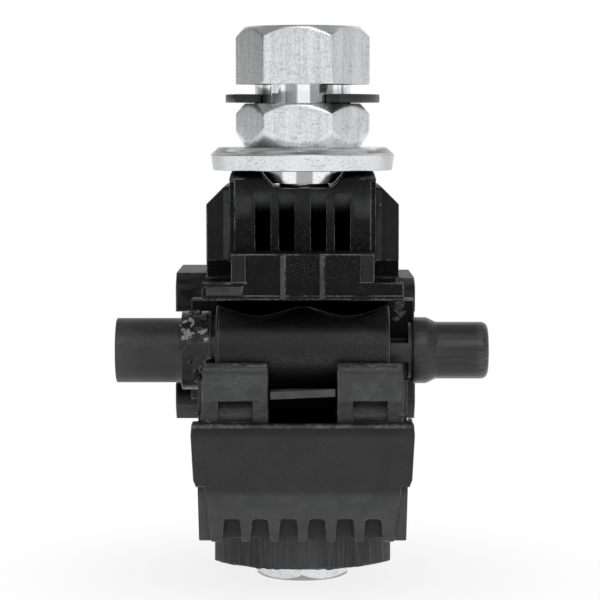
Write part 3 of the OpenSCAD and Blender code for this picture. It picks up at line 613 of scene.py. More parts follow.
    @staticmethod
    def _soft_least(first: float, second: float, soft: float) -> float:
        """The lesser of two numbers, with the crossing rounded off."""
        return 0.5 * (first + second) - math.hypot(0.5 * (first - second), soft)

    @classmethod
    def strip(cls, name: str, sections: list[list[Vector]], closed: bool) -> bpy.types.Object:
        """Joins cross sections of four corners into one closed bar.

        Args:
            name: Name of the piece.
            sections: Four corners each, in the same order.
            closed: Whether the last section meets the first.

        Returns:
            The new piece.
        """
        bm = bmesh.new()
        rings = [[bm.verts.new(point) for point in section] for section in sections]
        count = len(rings)
        for i in range(count if closed else count - 1):
            first, second = rings[i], rings[(i + 1) % count]
            for k in range(4):
                bm.faces.new((first[k], first[(k + 1) % 4], second[(k + 1) % 4], second[k]))
        if not closed:
            bm.faces.new(rings[0][::-1])
            bm.faces.new(rings[-1])
        bmesh.ops.recalc_face_normals(bm, faces=bm.faces)
        return cls.new_object(name, bm)

    @classmethod
    def crumbs(cls, name: str, places: list[tuple[Vector, Vector]], seed: int) -> bpy.types.Object:
        """Small ragged lumps, such as torn moulding flash.

        Args:
            name: Name of the piece.
            places: Middle and half sizes of each lump.
            seed: Start of the random draws.

        Returns:
            One piece with all the lumps.
        """
        draw = random.Random(seed)
        bm = bmesh.new()
        for middle, half in places:
            lump = bmesh.ops.create_icosphere(bm, subdivisions=3, radius=1.0)["verts"]
            turn = Matrix.Rotation(draw.uniform(0, math.pi), 3, "Y")
            shift = Vector([draw.uniform(0, 50) for _ in "XYZ"])
            for vert in lump:
                lumpy, rough = noise.noise(vert.co * 1.7 + shift), noise.noise(vert.co * 5 + shift)
                ragged = 1.0 + 0.75 * lumpy + 0.3 * rough
                vert.co = middle + turn @ Vector([c * h * ragged for c, h in zip(vert.co, half)])
        made = cls.new_object(name, bm)
        for face in made.data.polygons:
            face.use_smooth = True
        return made


def drawn(draw: random.Random, *spans: Pair) -> Vector:
    """A vector drawn between the ends of three spans in millimetres, along X, Y and Z in turn."""
    return Vector([draw.uniform(*span) for span in spans]) * MM


def dress(
    made: bpy.types.Object, skins: Skins, body: Body, nodes: tuple[str, ...] = ()
) -> bpy.types.Object:
    """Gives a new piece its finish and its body.

    Args:
        made: The new piece.
        skins: Its finishes, in the order of its faces.
        body: The CAD body that it rides on.
        nodes: The CAD nodes that it stands for.

    Returns:
        The same piece.
    """
    if not made.data.materials:
        for skin in skins:
            made.data.materials.append(skin)
    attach(made, body.value)
    if nodes:
        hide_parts(*nodes)
    LOG.info("%s: %d faces on %s", made.name, len(made.data.polygons), body.value)
    return made


def dress_node(node: str, material: bpy.types.Material) -> None:
    """Gives a CAD node that stays its finish.

    Args:
        node: The CAD node.
        material: Its finish.
    """
    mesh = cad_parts[node].data
    mesh.materials.clear()
    mesh.materials.append(material)
    LOG.info("%s: kept from the frame", node)


def grey(level: float, cool: float = 0.0) -> Triple:
    """A neutral colour, a little bluer where cool is above 0."""
    return level * (1.0 - cool), level, level * (1.0 + cool)


@dataclass(frozen=True)
class Patch:
    """A region of a moulding with a tone of its own, used for painted light and painted shade as well as for
    scuffs and lighter parts.

    Attributes:
        low: Its least corner in millimetres.
        high: Its greatest corner in millimetres.
        tone: Brightness in it, 0 for painted shade that is black and reflects nothing.
        soft: Width of its edge in millimetres.
        share: How fully it covers the skin.
        broken: Size of the pieces that it is broken into, in millimetres, 0 for a whole region.
    """

    low: Triple
    high: Triple
    tone: float
    soft: Triple = FINE
    share: float = 1.0
    broken: float = 0.0

    def both_sides(self) -> "tuple[Patch, Patch]":
        """The patch and its mirror image along X."""
        low, high = (-self.high[0], *self.low[1:]), (-self.low[0], *self.high[1:])
        return self, replace(self, low=low, high=high)

    def mask(self, shader: Shader) -> Sock:
        """One inside the region.

        Args:
            shader: The tree that asks.

        Returns:
            The mask.
        """
        cover = None
        for letter, low, high, soft in zip("XYZ", self.low, self.high, self.soft):
            band = shader.axis(letter).band(low * MM, high * MM, soft * MM)
            cover = band if cover is None else cover * band
        if self.broken:
            grain = tuple(size * self.broken * MM for size in (2.2, 1.0, 0.8))
            cover = cover * shader.noise(grain, 4.0, 0.65, 0.4).step(0.46, 0.6)
        return cover * self.share

    @staticmethod
    def lay(shader: Shader, patches: "tuple[Patch, ...]", base: Sock, mottle: Sock) -> tuple[Sock, Any]:
        """Lays patches over a skin.

        Args:
            shader: The tree.
            patches: The patches, the last on top.
            base: Colour of the skin.
            mottle: Clouds from 0 to 1 that vary the patches.

        Returns:
            The new colour, and a mask of the painted shade, which is black and reflects nothing.
        """
        painted_shade: Any = 0.0
        for patch in patches:
            mask = patch.mask(shader)
            # A tone of 0 is painted shade: black, with full Metallic so that it reflects nothing
            if patch.tone == 0.0:
                base = shader.mix(mask, base, grey(0.0))
                painted_shade = mask.highest(painted_shade)
                continue
            dark, light = grey(patch.tone * 0.7, 0.02), grey(patch.tone * 1.3, 0.02)
            base = shader.mix(mask, base, shader.mix(mottle.step(0.3, 0.7), dark, light))
        return base, painted_shade


@dataclass(frozen=True)
class MouldedPolyamide:
    """Black glass filled plastic, as it leaves the mould.

    Attributes:
        name: Name of the material.
        tone: Brightness of the plain skin.
        pale: Brightness of bare glass specks and drag marks.
        rough: Mean roughness.
        speckle: How thickly the specks lie.
        speck_size: Mean distance between the specks.
        drag_below: Height under which the skin has drag marks along the bolt.
        gloss: Strength of the reflections.
        patches: Regions with a tone of their own.
        relief: Depth of the grain.
    """

    name: str
    tone: float = 0.014
    pale: float = 0.09
    rough: float = 0.46
    speckle: float = 0.6
    speck_size: float = 0.2 * MM
    drag_below: float = 0.0
    gloss: float = 0.5
    patches: tuple[Patch, ...] = ()
    relief: float = 0.03 * MM

    def build(self) -> bpy.types.Material:
        """Builds the node tree.

        Returns:
            The material.
        """
        shader = Shader(self.name)
        mottle = shader.noise((2.4 * MM,) * 3, 4.0)
        grain = shader.noise((0.17 * MM,) * 3, 2.0)
        cover = shader.noise((3.2 * MM,) * 3, 2.0).step(0.34, 0.6) * self.speckle
        dots = shader.specks(self.speck_size, 0.33, cover)
        lines = shader.noise((0.2 * MM, 0.2 * MM, 7 * MM), 3.0).step(0.42, 0.72)
        drag = lines * (1.0 - shader.axis("Z").step(self.drag_below - 0.2 * MM, self.drag_below))
        skin = shader.mix(mottle.step(0.35, 0.65), grey(self.tone * 0.5, 0.02), grey(self.tone * 1.5, 0.02))
        base = shader.mix(dots, shader.mix(drag, skin, grey(self.pale * 0.7)), grey(self.pale))
        base, painted_shade = Patch.lay(shader, self.patches, base, mottle)
        rough = self.rough + 0.2 * (mottle - 0.5) + 0.1 * (grain - 0.5)
        normal = shader.bump(0.7 * grain + 0.25 * mottle + 0.4 * dots + 0.5 * drag, self.relief)
        return shader.surface(
            Base_Color=base, Metallic=painted_shade, Roughness=rough, Normal=normal, Specular_IOR_Level=self.gloss)


@dataclass(frozen=True)
class EdgeWearAndHighlight:
    """Roundings of a moulding, pale in broken lines that are partly wear and partly painted highlight.

    Attributes:
        name: Name of the material.
        tone: Brightness between the pale lines.
        pale: Brightness of the pale lines, which are wear and painted highlight.
        share: How much of the edge is pale, from 0 to 1.
        gloss: Strength of the reflections.
        patches: Regions with a tone of their own.
    """

    name: str
    tone: float
    pale: float
    share: float = 0.5
    gloss: float = 0.5
    patches: tuple[Patch, ...] = ()

    def build(self) -> bpy.types.Material:
        """Builds the node tree.

        Returns:
            The material.
        """
        shader = Shader(self.name)
        broad = shader.noise((3.0 * MM,) * 3, 3.0)
        chips = shader.noise((0.5 * MM,) * 3, 3.0, 0.65)
        limit = 0.62 - 0.24 * self.share
        # Pale broken lines on the edges: wear, and painted highlights where the edges catch the light
        wear_and_highlight = (0.6 * broad + 0.4 * chips).step(limit - 0.08, limit + 0.08)
        base = shader.mix(wear_and_highlight, grey(self.tone, 0.02), grey(self.pale, 0.01))
        base, painted_shade = Patch.lay(shader, self.patches, base, broad)
        rough = 0.42 - 0.1 * wear_and_highlight
        normal = shader.bump(chips, 0.04 * MM)
        return shader.surface(
            Base_Color=base, Metallic=painted_shade, Roughness=rough, Normal=normal, Specular_IOR_Level=self.gloss)


@dataclass(frozen=True)
class SleeveRubber:
    """Black moulded rubber with faint flow lines along the cable.

    Attributes:
        name: Name of the material.
        tone: Brightness of the skin.
        rough: Mean roughness.
        greasy: Range along X that carries a film of sealing grease.
        dusty: Range along X that carries pale dust specks.
        streaks: How dark the lines along X are, flow lines and painted shade in creases.
        patches: Regions with a tone of their own.
    """

    name: str
    tone: float = 0.02
    rough: float = 0.44
    greasy: Pair = NOWHERE
    dusty: Pair = NOWHERE
    streaks: float = 0.0
    patches: tuple[Patch, ...] = ()

    def build(self) -> bpy.types.Material:
        """Builds the node tree.

        Returns:
            The material.
        """
        shader = Shader(self.name)
        along = shader.axis("X")
        cloud = shader.noise((2.8 * MM,) * 3, 4.0)
        flow = shader.noise((6 * MM, 0.35 * MM, 0.35 * MM), 3.0)
        grain = shader.noise((0.14 * MM,) * 3, 2.0)
        film = along.band(*self.greasy, 0.8 * MM) * cloud.step(0.38, 0.58)
        dots = shader.specks(0.4 * MM, 0.22, along.band(*self.dusty, 1.5 * MM) * cloud.step(0.4, 0.6))
        skin = shader.mix(cloud.step(0.3, 0.7), grey(self.tone * 0.75), grey(self.tone * 1.3))
        laid, painted_shade = Patch.lay(shader, self.patches, skin, cloud)
        # Dark lines along X: flow lines, and painted shade in creases
        lined = shader.mix(self.streaks * flow.step(0.5, 0.64), laid, grey(0.004))
        base = shader.mix(dots * 0.8, lined, grey(0.12))
        rough = self.rough + 0.22 * (cloud - 0.5) - 0.22 * film
        normal = shader.bump(0.4 * grain + 0.5 * flow + 0.4 * dots + 2.5 * film * cloud, 0.035 * MM)
        coat = 0.35 * film * (1.0 - painted_shade)
        return shader.surface(
            Base_Color=base, Metallic=painted_shade, Roughness=rough, Normal=normal, Coat_Weight=coat)


@dataclass(frozen=True)
class DrawnAluminium:
    """Bare aluminium cut from drawn hexagon bar, with draw marks along the bolt.

    Attributes:
        name: Name of the material.
        dark: Brightness in the draw marks.
        bright: Brightness of the clean metal.
        rough: Mean roughness.
        neck: Heights between which the metal is turned smooth, with painted reflections in bands along the
            bolt.
    """

    name: str
    dark: float = 0.44
    bright: float = 1.0
    rough: float = 0.28
    neck: Pair = NOWHERE

    def build(self) -> bpy.types.Material:
        """Builds the node tree.

        Returns:
            The material.
        """
        shader = Shader(self.name)
        fine = shader.noise((0.11 * MM, 0.11 * MM, 7 * MM), 4.0, 0.65)
        broad = shader.noise((0.9 * MM, 0.9 * MM, 14 * MM), 3.0)
        cloud = shader.noise((1.6 * MM,) * 3, 4.0)
        nicks = shader.specks(0.7 * MM, 0.2, cloud.step(0.5, 0.62))
        pitted = shader.noise((0.22 * MM, 0.22 * MM, 0.3 * MM), 4.0, 0.7)
        marks = 0.3 * fine.step(0.25, 0.75) + 0.25 * broad.step(0.3, 0.7) + 0.45 * pitted.step(0.3, 0.62)
        skin = shader.mix(marks, grey(self.dark, 0.012), grey(self.bright, 0.012))
        smudge = shader.noise((1.6 * MM, 1.6 * MM, 0.5 * MM), 5.0, 0.7, 0.8).step(0.56, 0.7)
        turned = shader.axis("Z").band(*self.neck, 0.03 * MM)
        score = shader.noise((0.08 * MM, 0.08 * MM, 16 * MM), 2.0).step(0.6, 0.7)
        across = shader.noise((1.5 * MM, 1.5 * MM, 0.14 * MM), 3.0, 0.6, 0.6)
        scrape = across.step(0.6, 0.7) * cloud.step(0.46, 0.56)
        scuffed = shader.mix(nicks * 0.6 + 0.4 * smudge + 0.3 * score + 0.6 * scrape, skin, grey(0.3))
        # Painted reflections on the turned neck: dark and bright bands along the bolt
        painted_reflection_bands = shader.noise((1.1 * MM, 1.1 * MM, 60 * MM), 2.0).step(0.42, 0.56)
        base = shader.mix(turned, scuffed, shader.mix(painted_reflection_bands, grey(0.34, 0.01), grey(0.94, 0.01)))
        drawn = self.rough + 0.18 * (fine - 0.5) + 0.12 * (cloud - 0.5) + 0.15 * smudge
        rough = drawn * (1.0 - 0.7 * turned)
        height = (0.4 * fine + 0.7 * pitted + 0.3 * cloud - 0.5 * nicks) * (1.0 - 0.85 * turned)
        normal = shader.level(0.5, shader.bump(height, 0.02 * MM))
        return shader.surface(Base_Color=base, Metallic=1.0, Roughness=rough, Normal=normal)


@dataclass(frozen=True)
class ZincSteel:
    """Zinc plated steel with handling scratches and a slightly orange peel skin.

    Attributes:
        name: Name of the material.
        dark: Brightness of dull patches.
        bright: Brightness of the clean plating.
        rough: Mean roughness.
        dome_below: Height under which the dome carries painted reflections, two bright bands on grey.
        top_above: Height over which the face carries scuffs from the nut and a painted sheen.
        rim_fade: Distance along X from which the rim is darker.
        cone: Radius at height 0 of the chamfer cone, which is darker as painted shade.
        gleams: Ranges along X of the two painted reflections, bright bands on the dome.
        dome_spread: Weight of the way out, along each axis, in the shading of the dome.
    """

    name: str
    dark: float = 0.62
    bright: float = 0.86
    rough: float = 0.27
    dome_below: float = -FAR
    top_above: float = FAR
    rim_fade: float = FAR
    cone: float = FAR
    gleams: tuple[Pair, Pair] = ((-2.2 * MM, -0.7 * MM), (1.1 * MM, 3.0 * MM))
    dome_spread: Triple = (0.2, 1.0, 0.0)

    def build(self) -> bpy.types.Material:
        """Builds the node tree.

        Returns:
            The material.
        """
        shader = Shader(self.name)
        cloud = shader.noise((1.8 * MM,) * 3, 5.0, 0.6)
        peel = shader.noise((0.3 * MM,) * 3, 2.0)
        scratch = shader.noise((3.5 * MM, 0.12 * MM, 0.12 * MM), 2.0, 0.5, 0.6).step(0.6, 0.74)
        pits = shader.specks(0.6 * MM, 0.2, cloud.step(0.48, 0.62))
        fine = shader.noise((0.16 * MM,) * 3, 3.0, 0.7).step(0.32, 0.56)
        spangle = 0.4 * cloud.step(0.28, 0.62) + 0.6 * fine
        skin = shader.mix(spangle, grey(self.dark, 0.015), grey(self.bright, 0.015))
        worn = shader.mix(0.5 * scratch + 0.6 * pits, skin, grey(0.28))
        across, height = shader.axis("X"), shader.axis("Z")
        # Dark scuffs and a painted sheen on the top face
        scuffs_and_sheen = shader.noise((9 * MM, 6 * MM, 0.6 * MM), 3.0, 0.5, 0.3).step(0.4, 0.6)
        face = height.step(self.top_above, self.top_above + 0.1 * MM)
        faced = shader.mix(face, worn, shader.mix(scuffs_and_sheen, grey(0.3), grey(1.0)))
        rim = (across * across).step(self.rim_fade ** 2, (self.rim_fade + 2 * MM) ** 2)
        # The chamfer cone of the bolt head is darker, as painted shade
        flat = shader.vector("MULTIPLY", shader.place(), shader.LEVEL)
        reach = shader.vector("LENGTH", flat, out="Value")
        turned = (reach - 1.2 * height).step(self.cone - 0.08 * MM, self.cone - 0.03 * MM)
        plated = shader.mix((0.6 * rim).highest(0.9 * turned), faced, grey(0.3))
        # Painted reflections on the dome: two bright bands on grey
        dome = 1.0 - height.step(self.dome_below - 0.05 * MM, self.dome_below)
        left, right = (across.band(*ends, 0.15 * MM) for ends in self.gleams)
        gleam = left.highest(right)
        base = shader.mix(dome, plated, shader.mix(gleam * fine.step(0.0, 0.4), grey(0.42), grey(0.98)))
        rough = (self.rough + 0.25 * (cloud - 0.5) + 0.12 * scratch) * (1.0 - 0.5 * dome)
        bumped = shader.bump(0.6 * peel + 0.6 * cloud - 0.4 * scratch - 0.5 * pits, 0.03 * MM)
        normal = shader.bend(dome, bumped, self.dome_spread)
        return shader.surface(Base_Color=base, Metallic=1.0, Roughness=rough, Normal=normal)


@dataclass(frozen=True)
class TinnedContact:
    """Tinned copper of the toothed blades, with stamping marks across the edges.

    Attributes:
        name: Name of the material.
        tone: Brightness of the tin.
    """

    name: str
    tone: float = 0.66

    def build(self) -> bpy.types.Material:
        """Builds the node tree.

        Returns:
            The material.
        """
        shader = Shader(self.name)
        cloud = shader.noise((1.2 * MM,) * 3, 4.0)
        stamp = shader.noise((2 * MM, 0.1 * MM, 0.1 * MM), 3.0)
        warm = (self.tone, self.tone * 0.96, self.tone * 0.88)
        base = shader.mix(cloud.step(0.3, 0.7), warm, grey(self.tone * 1.15))
        rough = 0.34 + 0.2 * (cloud - 0.5)
        normal = shader.bump(0.6 * stamp + 0.4 * cloud, 0.015 * MM)
        return shader.surface(Base_Color=base, Metallic=1.0, Roughness=rough, Normal=normal)


@dataclass(frozen=True)
class StudioWhite:
    """White floor that the camera sees as paper white, with the shadow of the object left faint.

    Attributes:
        name: Name of the material.
        shine: Share of plain white that the camera and reflections see beside the object.
        clear: Distance from the object beyond which the floor is plain white.
    """

    name: str
    shine: float = 0.84
    clear: float = 42 * MM

    def build(self) -> bpy.types.Material:
        """Builds the node tree.

        Returns:
            The material.
        """
        shader = Shader(self.name)
        seen = seen_directly(shader)
        paper = shader.add("ShaderNodeBsdfDiffuse", None, {"Color": (0.9, 0.9, 0.9, 1.0)})
        white = shader.add("ShaderNodeEmission", None, {"Color": (1.0, 1.0, 1.0, 1.0), "Strength": 1.0})
        away = shader.vector("LENGTH", shader.place(), out="Value")
        share = self.shine + (1.0 - self.shine) * away.step(0.2 * self.clear, self.clear)
        mixed = shader.add("ShaderNodeMixShader", None, {0: share * seen, 1: paper, 2: white})
        shader.add("ShaderNodeOutputMaterial", None, {0: mixed})
        return shader.owner


def seen_directly(shader: Shader) -> Sock:
    """One for rays from the camera and for reflections.

    Args:
        shader: The tree that asks.

    Returns:
        The mask.
    """
    rays = [shader.add("ShaderNodeLightPath", out=name) for name in
            ("Is Camera Ray", "Is Glossy Ray", "Is Transmission Ray")]
    return rays[0].highest(rays[1]).highest(rays[2])


@dataclass(frozen=True)
class Finishes:
    """The built materials of the connector, as the skins of each piece, with that of its roundings last."""

    lower: Skins
    upper: Skins
    flash: Skins
    shred: Skins
    rubber: Skins
    pad: Skins
    sleeve: Skins
    cap: Skins
    grease: Skins
    wet: Skins
    aluminium: Skins
    zinc: Skins
    washer: Skins
    contact: Skins
    ring: Skins

    @classmethod
    def build(cls) -> "Finishes":
        """Builds every finish once.

        Returns:
            The finishes.
        """
        everywhere = (-20 * MM, 20 * MM)
        single = {
            "flash": MouldedPolyamide("torn_flash", tone=0.06, pale=0.25, rough=0.4),
            "shred": MouldedPolyamide("shredded_flash", tone=0.008, pale=0.16, rough=0.28),
            "rubber": SleeveRubber("seal_rubber"),
            "pad": SleeveRubber("pad_rubber", patches=(
                # Lighter front of the lip, and painted shade, black and reflecting nothing, behind it
                Patch((-4, -16, 21), (4, -14.45, 24), 0.065),
                Patch((-12, -14.45, 18), (12, -10, 25), 0.0, FINE, 0.98),
            )),
            # The cap's dark lines along it are flow lines and painted shade in its creases
            "cap": SleeveRubber("cap_rubber", rough=0.32, streaks=0.75, patches=(
                # Painted highlight on the closed end
                Patch((18.7, -15, 20), (21, -4, 32), 0.06, (0.5, 0.2, 0.2)),
            )),
            # The pale tone of these grease lumps is a painted glint
            "grease": SleeveRubber("grease_painted_glint", tone=0.3, rough=0.2, greasy=everywhere),
            "wet": SleeveRubber("sealing_grease", tone=0.006, rough=0.2, greasy=everywhere),
            "aluminium": DrawnAluminium("drawn_aluminium", neck=(52.5 * MM, 54.45 * MM)),
            "zinc": ZincSteel("zinc_plating", dark=0.6, bright=0.97, rough=0.3, cone=4.87 * MM),
            "washer": ZincSteel(
                "washer_plating", dome_below=45.08 * MM, top_above=46.95 * MM, rim_fade=7.6 * MM),
            "contact": TinnedContact("tinned_blade"),
            "ring": MouldedPolyamide("ring_nylon", tone=0.012, rough=0.36, speckle=0.1),
        }
        built = {piece: (finish.build(),) for piece, finish in single.items()}
        return cls(lower=cls._lower(), upper=cls._upper(), sleeve=cls._sleeve(), **built)

    @staticmethod
    def _lower() -> Skins:
        """Builds the skin of the lower jaw and that of its edges, with wear and painted highlights.

        Returns:
            Both materials.
        """
        moulding = MouldedPolyamide(
            "lower_moulding", tone=0.008, speckle=0.2, pale=0.11, drag_below=6.05 * MM, patches=(
                # Fronts and feet of the tabs, and painted light from below on the skirt of the apron
                Patch((-10.7, -17, 21.2), (10.7, -13.9, 26), 0.06),
                Patch((-10.7, -17, 19.1), (10.7, -14.4, 21.2), 0.03),
                Patch((-12, -18, 5.0), (12, -12.4, 11.6), 0.05, (0.05, 0.1, 0.5)),
                # Scuffs on the tabs, a dark line, and a pale top that is painted highlight with chips
                Patch((-10.7, -17, 21), (10.7, -13.9, 26), 0.02, FINE, 0.5, 0.4),
                Patch((-10.7, -17, 24.1), (10.7, -13.9, 24.5), 0.012, (0.05, 0.3, 0.2), 0.6),
                Patch((-10.7, -17, 24.9), (10.7, -13.9, 26), 0.2, FINE, 0.9, 0.5),
                Patch((-10.7, -17, 19.1), (10.7, -14.4, 21.4), 0.004, FINE, 0.7, 0.5),
                # Shade and scuffs along the top of the apron
                Patch((-12, -17.5, 17.9), (12, -15.9, 19.3), 0.0, (0.05, 0.1, 0.5), 0.3),
                Patch((-11, -18, 17.9), (11, -15.6, 19.2), 0.003, (0.5, 0.1, 0.2), 0.8, 0.7),
                # Light on the boss, shade and light on the left ear
                Patch((-3.6, -14, 2), (2.4, -9, 5.8), 0.06, (1.2, 0.2, 0.4), 0.5),
                Patch((-15, 2, 19.4), (-9.9, 4, 22.8), 0.0, (0.2, 0.2, 0.7), 0.9),
                Patch((-15, 2, 16.8), (-9.9, 4, 18.4), 0.05, (0.2, 0.2, 0.8), 0.8),
                # Painted shade, black and reflecting nothing, in the hollows behind the sleeve and between the
                # tabs
                Patch((-9.4, -5.2, 28), (9.4, -4, 33), 0.0, EVEN),
                Patch((-12, -5.2, 26), (12, -4, 33), 0.0, FINE, 0.7),
                Patch((-3.55, -15.4, 15), (3.55, -9, 22.2), 0.0, (0.05, 0.1, 0.1)),
            ))
        # Edges pale in broken lines, as wear and as painted highlight
        edge = EdgeWearAndHighlight("lower_edge_wear_and_highlight", tone=0.012, pale=0.11, share=0.4)
        return moulding.build(), edge.build()

    @staticmethod
    def _upper() -> Skins:
        """Builds the skin of the upper jaw and that of its edges, with wear and painted highlights.

        Returns:
            Both materials.
        """
        # The upper jaw's skin is darker than the lower jaw's, as painted shade
        moulding = MouldedPolyamide(
            "upper_moulding", tone=0.003, rough=0.42, speckle=1.0, speck_size=0.15 * MM, pale=0.11,
            gloss=0.13, relief=0.06 * MM, patches=(
                # Painted light on the left end of the flange's lip, and lighter wings
                Patch((-10.1, -17, 32.4), (-6.2, -15.1, 33.3), 0.06, FINE),
                Patch((-11, -6.1, 35.4), (11, -5, 44), 0.015, WIDE),
                # Ears with dark scuffs
                *Patch((-15, -2, 27), (-10.4, 20, 37), 0.04, WIDE).both_sides(),
                Patch((-15, -2, 27), (15, 20, 37), 0.004, WIDE, 0.8, 1.2),
                # Light on the top of the panel, its corners and its sides
                Patch((-7.6, -9.6, 41.0), (7.6, -8.9, 42.9), 0.035, (0.1, 0.1, 1.3), 0.8),
                Patch((-7.4, -9.8, 40.6), (-5.5, -8.5, 42.2), 0.055, (0.3, 0.2, 0.7)),
                Patch((5.5, -9.8, 40.4), (7.4, -8.5, 42.2), 0.065, (0.3, 0.2, 0.7)),
                Patch((-8.6, -6.5, 35.6), (-7.8, -5.7, 43), 0.07, FINE),
                Patch((7.8, -6.5, 35.6), (8.6, -5.7, 43), 0.04, FINE),
                # Lighter corners of the flange, and painted highlights on its ribs
                Patch((-7.6, -17, 33.7), (-6.1, -15, 36.8), 0.028, WIDE),
                Patch((6.1, -17, 33.7), (7.6, -15, 36.8), 0.024, WIDE),
                *Patch((-2.36, -17.4, 31.6), (-1.74, -15.2, 37), 0.09, FINE, 0.9).both_sides(),
                # Slots of the panel, with painted light at the top and painted shade, black and reflecting
                # nothing, below
                Patch((-7, -9.1, 41.6), (7, -4, 43.2), 0.05, (0.1, 0.1, 0.7)),
                Patch((-7, -9.0, 36), (7, -4, 40.6), 0.0, (0.1, 0.1, 0.5)),
                # Shade at both ends of the flange
                *Patch((-10.6, -14, 33.7), (-7.6, 0, 35.3), 0.0, FINE, 0.6).both_sides(),
            ))
        # Edges pale in broken lines, as wear and as painted highlight
        edge = EdgeWearAndHighlight("upper_edge_wear_and_highlight", tone=0.006, pale=0.14, share=0.45, gloss=0.25, patches=(
            # Painted shade, black and reflecting nothing, on the edge of the notch
            Patch((-6.2, -12, 42.9), (6.2, -2, 46), 0.0, WIDE, 0.9),
        ))
        return moulding.build(), edge.build()

    @staticmethod
    def _sleeve() -> Skins:
        """Builds the skin of the tap sleeve and that of its edges, paler as painted highlight.

        Returns:
            Both materials.
        """
        rubber = SleeveRubber("sleeve_rubber", greasy=(-13 * MM, -9 * MM), dusty=(5 * MM, 9 * MM), patches=(
            # Drum between the jaws, with painted shade over it, a band of painted shade, a painted highlight
            # band, and dust
            Patch((-9.3, -15, 20), (9.3, -4, 32), 0.0, EVEN, 0.5),
            Patch((-9.3, -15, 24.0), (9.3, -12, 24.9), 0.0, (0.2, 0.2, 0.35), 0.6),
            Patch((-9.2, -15, 25.1), (9.2, -12, 25.9), 0.045, (0.1, 0.2, 0.4), 0.5, 0.2),
            Patch((3.5, -15, 25), (9.2, -9, 29), 0.045, (1.5, 0.2, 1.0), 0.5, 0.13),
            Patch((-9.2, -15, 24.5), (9.2, -9, 29.5), 0.03, (1.0, 0.2, 1.0), 0.4, 0.1),
            # Painted shade on the collar, and painted shadow under it
            Patch((-13, -15, 20), (-9.3, -4, 32), 0.0, EVEN, 0.5),
            Patch((-13, -15, 20), (-9.3, -4, 23.3), 0.0, (0.2, 0.2, 0.6)),
            # Painted light towards the mouth of the entry, and broken dark patches on its upper half
            Patch((-21, -15, 20), (-18.6, -4, 32), 0.06, (2.2, 0.1, 0.1)),
            Patch((-20, -15, 26), (-12.6, -4, 29), 0.005, (2.0, 0.1, 0.8), 0.5, 0.5),
        ))
        # The sleeve's edges are paler, as painted highlight
        return rubber.build(), SleeveRubber("sleeve_edge_highlight", tone=0.06).build()


@dataclass
class ClampBolt:
    """Full thread hexagon bolt.

    Attributes:
        pitch: Pitch of the thread.
        major: Outer radius of the thread.
        core: Radius at the root of the thread.
        sunk: How far the foot of the ridge is sunk in the core.
        ridge: Where the four corners of the ridge lie, as shares of the pitch.
        runout: Share of its height with which the ridge starts and ends.
        shank_r: Radius of the CAD bolt's plain shank.
        shank_from: Height over which the shank is drawn in to the core.
        start: Height where the thread starts.
        tip: Length of the end without thread.
        edge: Rounding of the head's edges.
        steps: Sections in a turn.
    """

    pitch: float = 1.0 * MM
    major: float = 2.97 * MM
    core: float = 2.4 * MM
    sunk: float = 0.05 * MM
    ridge: tuple[float, float, float, float] = (0.0, 0.37, 0.5, 0.87)
    runout: float = 0.02
    shank_r: float = 3.0 * MM
    shank_from: float = 4.05 * MM
    start: float = 5.0 * MM
    tip: float = 1.2 * MM
    edge: float = 0.08 * MM
    steps: int = 36

    def build(self, finishes: Finishes) -> None:
        """Builds the bolt blank and its thread.

        Args:
            finishes: The built materials.
        """
        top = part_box("clamp_bolt")[1].z - self.tip
        blank = MeshShop.rounded("clamp_bolt", "bolt_blank", self.edge, finishes.zinc, self._to_core)
        dress(blank, finishes.zinc, Body.LOWER, ("clamp_bolt",))
        thread = MeshShop.strip("bolt_thread", self._sections(top), closed=False)
        dress(MeshShop.smooth(thread), finishes.zinc, Body.LOWER)

    def _to_core(self, point: Vector) -> Vector:
        """Draws the shank in to the root of the thread.

        Args:
            point: A vertex of the CAD bolt.

        Returns:
            Its new place.
        """
        if point.z < self.shank_from:
            return point
        share = self.core / self.shank_r
        return Vector((point.x * share, point.y * share, point.z))

    def _sections(self, top: float) -> list[list[Vector]]:
        """Cross sections of the thread's ridge along its helix.

        Args:
            top: Height where the ridge ends.

        Returns:
            Four corners for each section.
        """
        turns = (top - self.start) / self.pitch
        count = int(turns * self.steps)
        root = self.core - self.sunk
        sections = []
        for i in range(count + 1):
            angle = 2 * math.pi * i / self.steps
            way = (math.cos(angle), math.sin(angle))
            base = self.start + self.pitch * i / self.steps
            fade = min(1.0, i / self.steps, (count - i) / self.steps)
            crest = root + (self.major - root) * max(fade, self.runout)
            reaches = zip((root, crest, crest, root), self.ridge)
            sections.append([Vector((r * way[0], r * way[1], base + up * self.pitch)) for r, up in reaches])
        return sections


